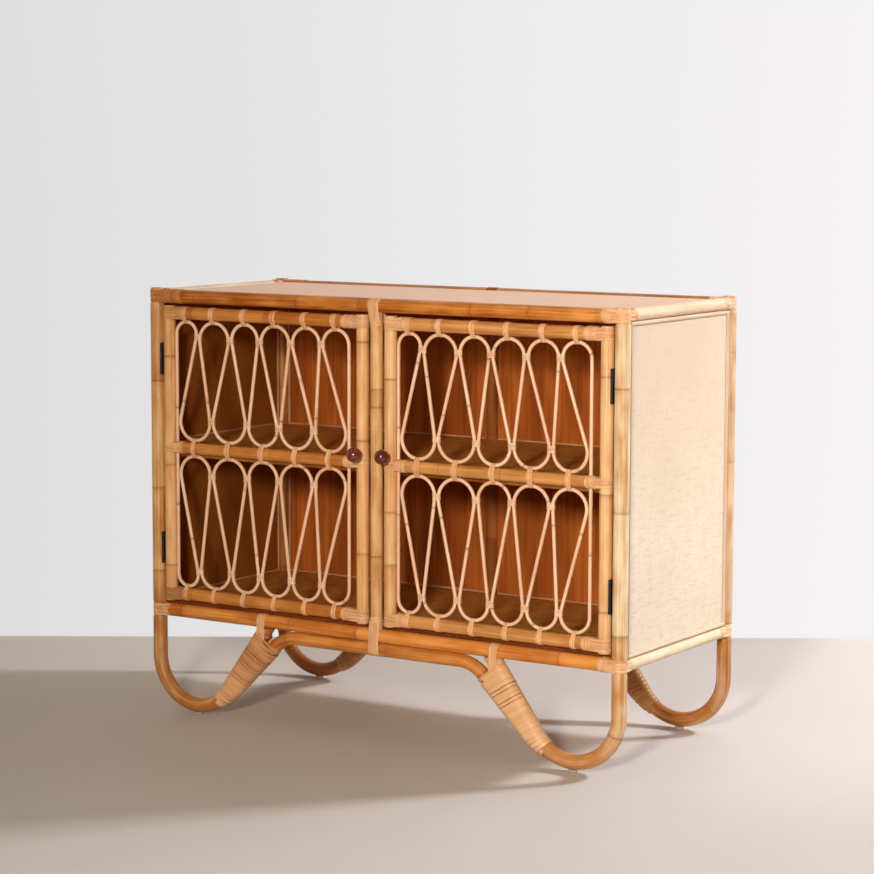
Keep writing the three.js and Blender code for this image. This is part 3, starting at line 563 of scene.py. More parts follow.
WIND_BACK = winding("_deep", (0.49, 0.225, 0.075), (0.3, 0.105, 0.025), (0.18, 0.07, 0.02))
WIND = {("front", -1): winding("_brown", (0.85, 0.49, 0.25), (0.44, 0.165, 0.042), (0.22, 0.09, 0.03)),
        ("front", 1): winding("", (0.84, 0.52, 0.29), (0.62, 0.3, 0.13), (0.3, 0.13, 0.05)),
        ("back", -1): WIND_BACK, ("back", 1): WIND_BACK}

# Skins, boards, metal and nylon
# the side skins carry painted shade, darker towards their top
SIDE = woven("woven_side", (0.81, 0.685, 0.55), (0.64, 0.505, 0.37), (0.56, 0.43, 0.3), (1, 2), 2.8, 7, 0.4,
             0.42, painted_top_shade=((0.64, 0.475, 0.335), 0.45, 0.92, 0.85))
TOP = woven("woven_top_skin", (0.82, 0.54, 0.38), (0.73, 0.45, 0.29), (0.45, 0.24, 0.12), (0, 1), 2.4, 8,
            0.35, 0.3, 0.5, 0.3)
SHELF = woven("woven_shelf_skin", (0.7, 0.295, 0.058), (0.39, 0.147, 0.024), (0.15, 0.047, 0.009), (0, 1), 3,
              6, 0.8, 0.8, 0.7, Specular_IOR_Level=0.15)
BOARD = boards("back_boards", (0.6, 0.18, 0.034), (0.36, 0.076, 0.008), (0.19, 0.034, 0.004), streaks=0.8,
               behind=(0.36, 0.17, 0.07), Specular_IOR_Level=0.12)
LINING = boards("side_boards", (0.33, 0.11, 0.018), (0.27, 0.081, 0.011), (0.19, 0.046, 0.006), streaks=0.35,
                Specular_IOR_Level=0.15)
# a dark brown for the strip under the doors: painted shadow
DOOR_GAP_SHADE = boards("painted_shadow_strip", (0.2, 0.05, 0.01), (0.14, 0.03, 0.006), (0.08, 0.018, 0.004), 0.7,
              Specular_IOR_Level=0.1)
KNOB = boards("turned_knob", (0.28, 0.034, 0.016), (0.17, 0.016, 0.009), (0.06, 0.006, 0.004), 0.22,
              Coat_Weight=0.8, Coat_Roughness=0.06)
METAL = plain("hinge_black", (0.007, 0.006, 0.007), (0.014, 0.011, 0.012), Metallic=0.3)
GLIDE = plain("glide_nylon", (0.5, 0.44, 0.38), (0.4, 0.35, 0.3))


# Legs, arches and their windings

LEG_WAY = np.array([-cos(LEG_SLOPE), sin(LEG_SLOPE)])
LEG_OUT = np.array([-sin(LEG_SLOPE), -cos(LEG_SLOPE)])
LOOP_END = np.array([FOOT_X, FOOT_Z]) + FOOT_R * LEG_OUT


def placed(point, side, y=0):
    """A point or a way in the plane of the right legs, on the given side of the cabinet."""
    return np.array((side * point[0], y, point[1]))


def leg_line():
    """The leg's axis from the post top to the tip, as [x, z]."""
    tip = LOOP_END + LEG_WAY * (LEG_TIP_Z - LOOP_END[1]) / LEG_WAY[1]
    return [(POST_X, POST_TOP - 1), *arc(FOOT_X, FOOT_Z, FOOT_R, 0, -pi / 2 - LEG_SLOPE, 70), tip]


def rounded_line(corners, bends):
    """A line through the corners with a bend of the given radius at each inner one."""
    line = [corners[0]]
    for before, here, after, bend in zip(corners, corners[1:], corners[2:], bends):
        back, ahead = unit(before - here), unit(after - here)
        half = acos(back @ ahead) / 2
        centre = here + unit(back + ahead) * bend / sin(half)
        first, last = (here + way * bend / tan(half) - centre for way in (back, ahead))
        turn = atan2(first[0] * last[1] - first[1] * last[0], first @ last)
        start = atan2(first[1], first[0])
        line += arc(*centre, bend, start, start + turn, 16)
    return [*line, corners[-1]]


def arch_line(toe=14):
    """The arch's axis from its left toe to its right one."""
    knee = LOOP_END + 11 * LEG_OUT
    shoulder = np.array([knee[0] - (ARCH_Z - knee[1]) / tan(radians(44.6)), ARCH_Z])
    tip = knee + toe * np.array([cos(radians(25)), -sin(radians(25))])
    half = [tip, knee, shoulder]
    return rounded_line(half + [p * (-1, 1) for p in half[::-1]], (60, 80, 80, 60))


def make_leg(face, depth, hand, side):
    """A post that bends round a foot loop and rises inwards to the rail."""
    shape = Shape(31 + 2 * depth + side)
    straight, low_rail = POST_TOP - FOOT_Z, POST_TOP - BOTTOM_RAIL_Z
    loop_end = straight + FOOT_R * (pi / 2 + LEG_SLOPE)
    # joints on the post and on the loop, and the tones between them; the legs on the right have lower tones,
    # so they are paler: painted light
    post, loop, tones = {
        ("front", -1): ((192, 415, 589), 120, (0.2, -0.4, 0.5, 1.6, 2.4, 1.4)),
        ("front", 1): ((150, 381, 612), 36, (-0.7, -0.4, -1, 0.9, 1.7, -0.2)),
        ("back", -1): ((240, 470, 640), 60, (0.2, -0.4, 0.5, 2.5, 3.3, 2.3)),
        ("back", 1): ((110, 330, 655), 70, (-0.7, -0.4, -1, 1.2, 1.9, -0.2))}[face, side]
    rattan_pole(shape, [placed(p, side, depth * POST_Y) for p in leg_line()], POST_R,
                (*post, straight + loop, loop_end + 40), lean=0, crown=2.6, round_ends=1, tones=tones,
                waists=[(-3, 31, 1.5), (low_rail - 15, low_rail + 15, 1.5)],
                # the leg is made dark under its winding, so that the gaps between the turns show as dark
                # lines
                dark_spans=[(loop_end + 74, loop_end + 112, 1)],
                scars=(0.2, 0.4) if (face, side) == ("back", 1) else (0.55, 0.9))
    # the tip is cut flat under the rail
    way = placed(LEG_WAY, side)
    rings = shape.verts[0].reshape(-1, 28, 3)
    for k in range(3):
        ring = rings[-1 - k]
        rise = LEG_TIP_Z - 0.4 * k - ring[:, 2]
        ring += np.where((rise < 0) | (k == 0), rise / way[2], 0)[:, None] * way
    shape.emit(f"pole_leg_{face}_{hand}", LEG[face, side], "rattan_pole", f"leg_{face}_{hand}")


def leg_station(s):
    """Place, direction and outward normal at a distance from the end of the foot loop."""
    if s >= 0:
        return LOOP_END + LEG_WAY * s, LEG_WAY, LEG_OUT
    angle = -pi / 2 - LEG_SLOPE - s / FOOT_R
    normal = np.array([cos(angle), sin(angle)])
    return np.array([FOOT_X, FOOT_Z]) + FOOT_R * normal, np.array([normal[1], -normal[0]]), normal


WINDING_START, WINDING_END = -32, (LEG_TIP_Z - 23 - LOOP_END[1]) / LEG_WAY[1]
WOUND_ARCH = np.array([p for p in arch_line(32) if p[0] > 0])


def arch_spread(s):
    """How far the arch's axis lies from the leg's at a station, along the leg's outward normal."""
    place, way, normal = leg_station(s)
    run, out = (WOUND_ARCH - place) @ way, (WOUND_ARCH - place) @ normal
    spread = 0
    for i in range(len(run) - 1):
        if run[i] * run[i + 1] <= 0 and run[i] != run[i + 1] and out[i] > 0:
            spread = out[i] + (out[i + 1] - out[i]) * run[i] / (run[i] - run[i + 1])
    return max(spread, 2)


def winding_spread(s):
    """How far the winding's outer side lies from the leg's axis, with a smooth run down to its end."""
    return max(arch_spread(s), min(1.5 + 0.265 * (s - WINDING_START), 13))


def make_winding(face, depth, hand, side, turns=20):
    """One strip of peel wound round the leg and the arch end together."""
    y = depth * POST_Y
    shape = Shape(71 + 2 * depth + side)
    # one turn, as (angle, share of the spread): round the arch, back, round the leg, and out again
    angles = np.linspace(-pi / 2, pi / 2, 12)
    bridge = (0.25, 0.5, 0.75)
    turn = [(a, 1) for a in angles] + [(pi / 2, 1 - b) for b in bridge]
    turn += [(a + pi, 0) for a in angles] + [(-pi / 2, b) for b in bridge]
    count, knots = len(turn), np.arange(turns + 3)
    draw = np.random.RandomState(shape.seed)
    widths = draw.uniform(0.992, 1.003, turns + 3)
    widths[[turns - 4, turns - 7, turns - 11][:2 if side > 0 else 3]] = 0.66
    climb = np.linspace(0, 1, turns + 3)
    tones = draw.uniform(-0.3, 0.3, turns + 3) + (climb * 2.6 - 1.4 if side < 0 else climb * 0.7 - 0.9)
    slips = draw.uniform(-0.04, 0.04, turns + 3)
    pitch = (WINDING_END - WINDING_START) / turns
    share = np.arange(turns * count + 1) / count
    rows = []
    for i, t in enumerate(share):
        s = WINDING_START + pitch * t + np.interp(t, knots, slips)
        place, way, normal = leg_station(s)
        angle, part = turn[i % count]
        slope = (winding_spread(s + 2) - winding_spread(s - 2)) / 4 * part
        out = placed(normal * cos(angle), side, sin(angle))
        centre = placed(place + normal * winding_spread(s) * part, side, y)
        sink = 1.6 * (1 - min(1, t / 0.3, (turns - t) / 0.3)) ** 2
        rows.append((centre + out * (15.75 - sink), out, unit(placed(way + normal * slope, side)),
                     hypot(1, slope)))
    points, normals, across, slant = map(np.array, zip(*rows))
    add_strip(shape, points, normals, across, pitch * np.interp(share, knots, widths) * slant, 1.2,
              np.interp(share, knots, tones), form=FLAT_STRIP)
    # a short wrap round the leg alone, and two strips that cross above it round the leg and the arch
    for reach, lean in ((0, None), (3.5, 2.2), (7, -2.6)):
        s = WINDING_END + reach
        place, way, normal = leg_station(s)
        where = placed(place, side, y), placed(way, side), placed(normal, side)
        if lean is None:
            wrap(shape, *where, [(0, 0, 15.2)], 7.5, 1.7, 5.6, 1, gap=0.1, rough=0.4)
        else:
            band(shape, *where, [(0, 0, 15.4), (arch_spread(s), 0, 13.9)], 0, 6, 1.2, lean, 0.6)
    shape.emit(f"winding_{face}_{hand}", WIND[face, side], "peel_binding",
               f"leg_winding_{face}_{hand}")


def make_glide(face, depth, hand, side):
    shape = Shape(3)
    profile = [(4.3, 5.5), (4.2, 8.4), (3, 9), (0.8, 9), (0, 8.2)]
    turned(shape, (side * FOOT_X, depth * POST_Y, 0), UP, profile)
    shape.emit(f"glide_{face}_{hand}", GLIDE, "glide", f"foot_glide_{face}_{hand}")


for face, depth in FACES:
    for hand, side in HANDS:
        make_leg(face, depth, hand, side)
        make_winding(face, depth, hand, side)
        make_glide(face, depth, hand, side)
    shape = Shape(19 + depth)
    line = [placed(p, 1, depth * POST_Y) for p in arch_line()]
    rattan_pole(shape, line, ARCH_R, (170, 395, 640, 860), lean=0.2)
    shape.emit(f"pole_arch_{face}", RAIL, "rattan_pole", f"arch_{face}")


# Frame rails and centre posts

def straight_pole(node, base, way, start, end, radius, joints, material, seed, body="cabinet", name=None,
                  **looks):
    """A pole in place of a node. It runs from one distance to another along `way` from the base."""
    shape = Shape(seed)
    rattan_pole(shape, [base + way * start, base + way * end], radius, joints, **looks)
    shape.emit(name or f"pole_{node}", material, "rattan_pole", node, body=body)


# For a rail at a level and a depth: its material, its joints and its looks
# the front top rail's tones run from deep at its left end to pale at its right: painted shade towards the
# left
RAILS = {
    ("top", -1): (RAIL_TOP, (95, 352, 502, 760, 889, 1035),
                  dict(tones=np.linspace(1.3, -0.8, 7), dark_spans=((96, 122, 0.3), (503, 524, 0.5)))),
    ("top", 1): (BACK_POLE, (120, 260, 505, 640, 905, 1000), {}),
    ("bottom", -1): (RAIL_LOW, (56, 330, 495, 806, 960), dict(tones=(2.4, -0.2, 0.5, -0.6, 0.2, -0.5))),
    ("bottom", 1): (RAIL_LOW, (210, 480, 700, 930), {})}
SIDE_RAILS = {("top", -1): TRIM, ("top", 1): SIDE_POLE, ("bottom", -1): SIDE_LOW, ("bottom", 1): SIDE_LOW}


def frame_rails():
    reach_x, reach_y, reach_shelf = POST_X - 9.5, POST_Y - 9.5, SIDE_IN - 0.3
    for level, z in LEVELS:
        for face, depth in FACES:
            material, joints, looks = RAILS[level, depth]
            straight_pole(f"{level}_rail_{face}", (0, depth * POST_Y, z), RIGHT, -reach_x, reach_x,
                          RAIL_R, joints, material, 40 + int(z / 100) + depth, scars=(0.3, 0.8), **looks)
        for hand, side in HANDS:
            seed = 50 + int(z / 100) + side
            joints = joints_along(2 * reach_y, seed, 110, 190)
            straight_pole(f"{level}_rail_{hand}", (side * POST_X, 0, SIDE_RAIL_Z[level]), BACK, -reach_y,
                          reach_y, SIDE_RAIL_R, joints, SIDE_RAILS[level, side], seed, across=RIGHT,
                          scars=(0.1, 0.25))
    for face, depth in FACES:
        straight_pole(f"shelf_rail_{face}", (0, depth * SHELF_RAIL_Y, SHELF_RAIL_Z), RIGHT, -reach_shelf,
                      reach_shelf, SHELF_RAIL_R, joints_along(2 * reach_shelf, 60 + depth), RAIL, 60 + depth)
        joints, material = ((149, 444, 480), POST) if depth < 0 else ((130, 350, 540), BACK_DARK)
        straight_pole(f"centre_post_{face}", (0, depth * POST_Y, 0), UP, BOTTOM_RAIL_Z + 10, TOP_RAIL_Z - 10,
                      CENTRE_R[face], joints, material, 64 + depth, scars=(0.35, 0.8))


frame_rails()


# Bindings of the frame

def crossing(shape, corner, side, depth):
    """Two slanting turns of peel that cross on the outer side of a post."""
    angle = circle(40)
    normals = np.stack([np.cos(angle), np.sin(angle), 0 * angle], 1)
    for slope in (shape.draw.uniform(0.42, 0.55), -shape.draw.uniform(0.38, 0.5)):
        points = corner + normals * LASH_TOP_R
        points[:, 2] += LASH_TOP_R * slope * np.sin(angle - atan2(depth, side))
        across = unit(np.cross(normals, np.roll(points, -1, 0) - np.roll(points, 1, 0)))
        add_strip(shape, points, normals, across, 4.2, 0.7, shape.draw.uniform(-1.2, 0.2), closed=True)


def strands_over(shape, x, y, side, depth):
    """Strands of peel that pass over the top end of a post."""
    line = [(13, -13), (14, -9), (14, -3.8), (13.2, -1.9), (11.6, -1.1), (0, -0.9)]
    line += [(-u, z) for u, z in line[-2::-1]]
    line = sample(np.linspace(0, len(line) - 1, 41), np.arange(len(line)), line)
    facing = unit(np.gradient(line, axis=0))[:, ::-1] * (1, -1)
    for turn, offset in ((0.35, -2.6), (-0.3, 2.3), (1.35, -2), (0.95, 2.6)):
        turn += atan2(depth, -side) + shape.draw.uniform(-0.1, 0.1)
        way = np.array((cos(turn), sin(turn), 0))
        beside = np.array((-way[1], way[0], 0))
        reach = way * sqrt(1 - (offset / 14) ** 2)
        points = (x, y, POST_TOP) + line @ (reach, UP) + beside * offset
        add_strip(shape, points, facing @ (way, UP), beside, 3, 0.6, shape.draw.uniform(-1.2, 0.6))


def corner_bindings(face, depth, hand, side, level, z):
    """The lashings of a post with its two rails, and the strips over them."""
    x, y, low = side * POST_X, depth * POST_Y, SIDE_RAIL_Z[level]
    seed = 100 + int(z) % 50 + depth * 3 + side
    name = f"lashing_{level}_{face}_{hand}"
    material = CORNER.get((level, side, depth), PEEL)
    turns = {("top", -1): 8, ("bottom", -1): 1}.get((level, side), 3)
    lashing(name + "_rail", material, seed, (x, y, z), UP, -side * RIGHT, LASH_R, RAIL_R,
            (-9.6, -3.2, 3.2, 9.6), 6, turns, 6.2)
    beside = LIGHT if (level, side) == ("bottom", 1) else material
    lashing(name + "_side", beside, seed + 7, (x, y, low), UP, -depth * BACK, LASH_R - 0.08, SIDE_RAIL_R,
            (-6.4, 0, 6.4), 5.6, 3, 5.6)
    over = Shape(seed + 11)
    crossing(over, (x, y, z), side, depth)
    if level == "top":
        strands_over(over, x, y, side, depth)
    over.emit(name + "_over", material, "peel_binding")


def centre_bindings(face, depth):
    """Peel over the top rail and the centre post, and round the post's foot, the bottom rail and the arch."""
    radius, y = CENTRE_R[face], depth * POST_Y
    top, bottom = (0, y, TOP_RAIL_Z), (0, y, BOTTOM_RAIL_Z)
    shape = Shape(130 + depth)
    for offset in STRANDS:
        half = sqrt(radius ** 2 - offset ** 2)
        band(shape, top, RIGHT, -UP, [(0, 0, RAIL_R), (RAIL_R + 14, 0, half)], offset, 6, 0.8, lean=0.4)
        circles = [(0, 0, RAIL_R), (ARCH_Z - BOTTOM_RAIL_Z, 0, ARCH_R), (RAIL_R + 12, 0, half)]
        band(shape, bottom, RIGHT, UP, circles, offset, 6, 0.8, lean=0.4)
    wrap(shape, top, -UP, RIGHT, [(0, 0, radius)], RAIL_R + 9, 3, 5.5, 0.95)
    wrap(shape, bottom, UP, RIGHT, [(0, 0, radius)], RAIL_R + 8, 2, 5.5, 0.95)
    shape.emit(f"lashing_centre_{face}", PEEL if depth < 0 else BACK_DARK, "peel_binding")


for face, depth in FACES:
    for hand, side in HANDS:
        for level, z in LEVELS:
            corner_bindings(face, depth, hand, side, level, z)
    centre_bindings(face, depth)
    for hand, side in HANDS:
        # a broad wrap over the rail and the leg's tip
        shape = Shape(140 + depth * 2 + side)
        for offset in (-6.6, 0, 6.6):
            band(shape, (side * TIP_LASH_X, depth * POST_Y, BOTTOM_RAIL_Z), side * RIGHT, UP,
                 [(0, 0, RAIL_R + 0.1), (-33.5, 0, POST_R + 0.2)], offset, 6.3, 0.9, lean=0.8)
        shape.emit(f"lashing_leg_tip_{face}_{hand}", PEEL, "peel_binding")


# Doors

# Contacts of the loops as shares of the opening's width, in the row of broad loops and of narrow ones
BROAD = (0.1325, 0.312, 0.474, 0.645, 0.809)
NARROW = (0.205, 0.404, 0.579, 0.768)
CONTACT = ROD_R + 0.3
ROD_START, ROD_END = 5.25, 436.4


def loop_circles(contacts, inset, apex, sign):
    """The loops of a row as (x, z, radius), which touch at the contacts."""
    contacts = np.array(contacts) * OPENING_W
    starts = np.array([ROD_START + inset, *contacts + CONTACT])
    radii = (np.array([*contacts - CONTACT, ROD_END - inset]) - starts) / 2
    return list(zip(starts + radii, apex - sign * radii, radii))


def lattice_line(broad, narrow, overshoot):
    """The rod's axis as [x, z]: broad and narrow loops in turn, joined by crossing tangents."""
    loops = [None] * (len(broad) + len(narrow))
    loops[::2], loops[1::2] = broad, narrow
    line = [(ROD_START, -overshoot)]
    incoming, sign = pi, 1
    for i, (x, z, r) in enumerate(loops):
        outgoing = 0
        if i + 1 < len(loops):
            dx, dz, reach = loops[i + 1] - np.array((x, z, -r))
            tangent = sqrt(dx * dx + dz * dz - reach * reach)
            outgoing = pi / 2 + atan2(dz, dx) - sign * atan2(reach, tangent)
        line += arc(x, z, sign * r, incoming, pi / 2, 14) + arc(x, z, sign * r, pi / 2, outgoing, 14)[1:]
        incoming, sign = outgoing, -sign
    return [*line, (ROD_END, -overshoot)]


def make_lattice(hand, side, level, up):
    """The bent rod of one door panel, with the ties that hold it to the rails and to itself."""
    body, y, key = f"door_{hand}", -POST_Y, side * 3 + up
    rail_z = DOOR_TOP_Z if up > 0 else DOOR_BOTTOM_Z
    narrow_z = DOOR_MID_Z + up * (MID_RAIL_R + ROD_RISE)
    round_rise = OPENING_W * (0.535 if up > 0 else 0.5965)
    flat = abs(rail_z - up * (DOOR_RAIL_R + ROD_RISE) - narrow_z) / round_rise
    broad = loop_circles(BROAD, 0, round_rise, 1)
    narrow = loop_circles(NARROW, CONTACT * 2, 0, -1)
    left = STILE_R + (-HINGE_STILE_X if side < 0 else LATCH_STILE_X)
    line = [(left + x, y, narrow_z + up * z * flat)
            for x, z in lattice_line(broad, narrow, (ROD_RISE - 0.6) / flat)]
    rods = Shape(200 + key)
    joints = joints_along(runs(line)[-1], 210 + key, 190, 420)
    rattan_pole(rods, line, ROD_R - 0.15, joints, sides=14, crown=0.3, step=5, lean=0.12, scars=(0.6, 1))
    rods.emit(f"rod_{level}_{hand}", ROD, "rattan_rod", f"lattice_{level}_{hand}", body=body)
    ties = Shape(230 + key)
    draw = np.random.RandomState(240 + key)
    strip = 4.1 if up > 0 else 3.6
    circles = [(0, 0, DOOR_RAIL_R), (-up * (DOOR_RAIL_R + ROD_RISE), 0, ROD_R)]
    for x, _, _ in broad:
        slant = draw.uniform(-0.8, 0.8)
        for offset in (-strip - 0.2, 0, strip + 0.2):
            band(ties, (left + x, y, rail_z), RIGHT, UP, circles, offset + slant, strip, 1,
                 lean=draw.uniform(-0.6, 0.6), pinch=0.16, tone=draw.uniform(-1.6, 0.4))
    reach = MID_RAIL_R + ROD_RISE
    circles = [(0, 0, MID_RAIL_R), (reach, 0, ROD_R), (-reach, 0, ROD_R)]
    for x, _, _ in narrow if up > 0 else ():
        for offset in (-4.1, 0, 4.1):
            band(ties, (left + x, y, DOOR_MID_Z), RIGHT, UP, circles, offset, 3.9, 1.1,
                 lean=draw.uniform(-0.6, 0.6))
    ties.emit(f"ties_{level}_{hand}", PEEL, "peel_binding", body=body)
    knots = Shape(236 + key)
    for row in (broad, narrow):
        for (x0, z0, r0), (x1, z1, r1) in zip(row[:-1], row[1:]):
            middle = (left + (x0 + r0 + x1 - r1) / 2, y, narrow_z + up * flat * (z0 + z1) / 2)
            circles = [(-CONTACT, 0, ROD_R), (CONTACT, 0, ROD_R)]
            wrap(knots, middle, UP, RIGHT, circles, -7.4, 4.8, 2.6, 1.15, 0.2, 26, 0.8)
    knots.emit(f"knots_{level}_{hand}", KNOT, "peel_binding", body=body)


# Joints of the door stiles from below, and the tones between them
STILES = {("hinge", -1): ((74, 284, 509), (0.3, -0.6, 0, 1.4)),
          ("hinge", 1): ((79, 300, 520), (-0.6, -0.2, -0.9, 0.1)),
          ("latch", -1): ((140, 365, 560), (0.4, -0.5, 0.2, -0.6)),
          ("latch", 1): ((124, 228, 490), (0.6, -0.6, -0.2, -0.7))}


def make_door(hand, side):
    body, y = f"door_{hand}", -POST_Y
    stiles = ("hinge", HINGE_STILE_X, -side), ("latch", LATCH_STILE_X, side)
    for kind, x, _ in stiles:
        joints, tones = STILES[kind, side]
        straight_pole(f"door_{kind}_stile_{hand}", (side * x, y, 0), UP, STILE_LOW, STILE_HIGH, STILE_R,
                      joints, DOOR[side], 300 + side * 2 + (kind == "hinge"), body,
                      f"pole_{kind}_stile_{hand}", lean=0.2, scars=(0.5, 0.9), tones=tones)
    start, end = sorted((side * (LATCH_STILE_X + 8), side * (HINGE_STILE_X - 8)))
    for level, z, radius in (("top", DOOR_TOP_Z, DOOR_RAIL_R), ("mid", DOOR_MID_Z, MID_RAIL_R),
                             ("bottom", DOOR_BOTTOM_Z, DOOR_RAIL_R)):
        seed = 310 + side * 4 + int(z) % 9
        straight_pole(f"door_{level}_rail_{hand}", (0, y, z), RIGHT, start, end, radius,
                      joints_along(end - start, seed, 130, 260), DOOR_RAIL[side], seed, body,
                      scars=(0.15, 0.6))
        heights, turns = ((-6.4, 0, 6.4), 5) if level == "mid" else (STRANDS, 6)
        for kind, x, way in stiles:
            lashing(f"lashing_door_{level}_{kind}_{hand}", DOOR_CORNER.get((level, kind, side), PEEL),
                    seed + 20 + (kind == "hinge"), (side * x, y, z), UP, way * RIGHT, STILE_R, radius,
                    heights, 5.7, turns, 4.2, 0.9, 0.3, body)
    for level, up in (("upper", 1), ("lower", -1)):
        make_lattice(hand, side, level, up)


for hand, side in HANDS:
    make_door(hand, side)


# Knobs and hinges

def make_knob(hand, side):
    shape = Shape(7)
    neck = [(-1, 6.6), (0.6, 7.4), (1.4, 7.5), (2.2, 6.9), (3.2, 6.7)]
    ball = [(4 + KNOB_R + KNOB_R * sin(a), KNOB_R * cos(a)) for a in np.linspace(-1.08, 1.5, 18)]
    turned(shape, (side * LATCH_STILE_X, -POST_Y - STILE_R, KNOB_Z), -BACK, neck + ball, 40)
    shape.emit(f"knob_ball_{hand}", KNOB, "knob_wood", f"knob_{hand}", body=f"door_{hand}", sharp=60)


def upright(shape, x, low, high, radius, e=0.4):
    """A round bar on the hinge's line, with eased ends."""
    profile = [(low, radius - e), (low + e, radius), (high - e, radius), (high, radius - e)]
    turned(shape, (x, HINGE_Y, 0), UP, profile)


def make_hinge(hand, side, level, z):
    """Two leaves with their knuckles round one pin, and countersunk screws."""
    x, front, half, inner = side * HINGE_X, HINGE_Y + 3.6, HINGE_HALF, KNUCKLE_HALF
    post, door = Shape(8), Shape(9)
    leaves = (post, side), (door, -side)

    def knuckle(shape, way, low, high):
        upright(shape, x, low, high, KNUCKLE_R)
        box_rings(shape, x + way * 0.3, x + way * 1.7, HINGE_Y, front + 1.4, low, high)

    for shape, way in leaves:
        box_rings(shape, x + way * 0.3, x + way * 1.7, front, HINGE_Y + LEAF_REACH, z - half, z + half)
    knuckle(post, side, z - half, z - inner - 0.3)
    knuckle(post, side, z + inner + 0.3, z + half)
    upright(post, x, z - half, z + half, PIN_R)
    screw = [(-0.6, 1.3), (0, 2.6), (0.1, 2.444), (0.14, 1.56), (0.14, 0.832), (-0.35, 0.52)]
    for rise in SCREW_RISES:
        for shape, way in leaves:
            turned(shape, (x + way * 0.3, HINGE_Y + SCREW_REACH, z + rise), -way * RIGHT, screw, 20)
    knuckle(door, -side, z - inner, z + inner)
    post.emit(f"hinge_leaf_post_{level}_{hand}", METAL, "hinge_metal", f"hinge_post_leaf_{level}_{hand}")
    door.emit(f"hinge_leaf_door_{level}_{hand}", METAL, "hinge_metal", f"hinge_door_leaf_{level}_{hand}",
              body=f"door_{hand}")


for hand, side in HANDS:
    make_knob(hand, side)
    for level, z in HINGE_Z.items():
        make_hinge(hand, side, level, z)


# Panels

def board_set(shape, x0, x1, back, front, z0, z1, seams, groove, depth, turn=1):
    """Upright boards side by side, with an eased seam between each two on the `front` face.

    turn is 1, or -1 for boards that stand along y."""
    low, high = sorted((x0, x1))
    deep = front - copysign(depth, front - back)
    outline = [(low, back), (low, front)]
    for seam in seams:
        outline += [(seam - groove, front), (seam - groove * 0.35, deep), (seam + groove * 0.35, deep),
                    (seam + groove, front)]
    outline += [(high, front), (high, back)]
    shape.add([[(*place[::turn], z) for place in outline] for z in np.linspace(z0, z1, 5)])


def half_round(shape, start, end, across, out, width, height, seed):
    """A split cane with its flat side on a face: `across` is its width and `out` its rise."""
    start, end = np.array(start), np.array(end)
    length = np.linalg.norm(end - start)
    stations = np.linspace(0, length, int(length / 9))
    arc = np.linspace(0, pi, 9)
    wide, high = -0.5 * np.cos(arc) * width, np.sin(arc) * height
    section = wide[:, None] * across + high[:, None] * out
    wave = 1 + 0.05 * unevenness(stations, seed, 30)
    centres = start + (end - start) * (stations / length)[:, None]
    shape.add(centres[:, None] + section * wave[:, None, None], grain(wide, high, stations[:, None]), 0,
              0.4 * unevenness(stations, seed + 1, 50))


def inner_mouldings(hand, side, top):
    """Light split canes over the edges inside: in the back corner and round the shelf and the floor."""
    shape = Shape(412 + side)
    wall, back = side * (SIDE_IN + 0.05), BOARD_Y + 0.05
    corner_x, corner_y, inside = side * 527.5, 198.2, -side * RIGHT
    for low, high in ((FLOOR_Z + 0.1, SHELF_UNDER), (SHELF_Z + 0.1, top)):
        seed, foot, base = int(low), low + 2.4, low + 2.6
        half_round(shape, (wall, corner_y, low), (wall, corner_y, high), BACK, inside, 6, 3.2, 3 + seed)
        half_round(shape, (corner_x, back, low), (corner_x, back, high), RIGHT, -BACK, 6, 3.2, 5 + seed)
        half_round(shape, (wall, -198, base), (wall, 195, base), UP, inside, 5, 2.8, 7)
        half_round(shape, (side * 15.5, back, foot), (side * 524, back, foot), UP, -BACK, 4.6, 3.4, 9)
    shape.emit(f"moulding_inner_{hand}", MOULDING, "peel_binding")


def make_trim(hand, side, z0, z1, width=8, height=4.5):
    """A half-round split cane mitred round the edge of a side panel."""
    shape = Shape(416 + side)
    arc = np.linspace(0, pi, 11)
    inset, out = width * (0.5 - 0.5 * np.cos(arc)), height * np.sin(arc)
    corners = np.array([(-1, -1), (1, -1), (1, 1), (-1, 1)])
    x = side * (SIDE_OUT + 0.1 + out * 0.97)
    rings, flow, run = [], [], 0
    for k, length in enumerate((2 * SIDE_REACH, z1 - z0) * 2):
        for t in np.linspace(0, 1, 60 if k % 2 else 40, endpoint=False):
            across, up = (1 - t) * corners[k] + t * corners[(k + 1) % 4]
            y, z = across * (SIDE_REACH - inset), (z0 + z1) / 2 + up * ((z1 - z0) / 2 - inset)
            rings.append(np.stack([x, y, z], -1))
            flow.append(grain(inset, out, run + t * length))
        run += length
    shape.add(rings, np.array(flow), closed=True)
    shape.emit(f"moulding_side_{hand}", TRIM, "peel_binding", f"side_trim_{hand}")


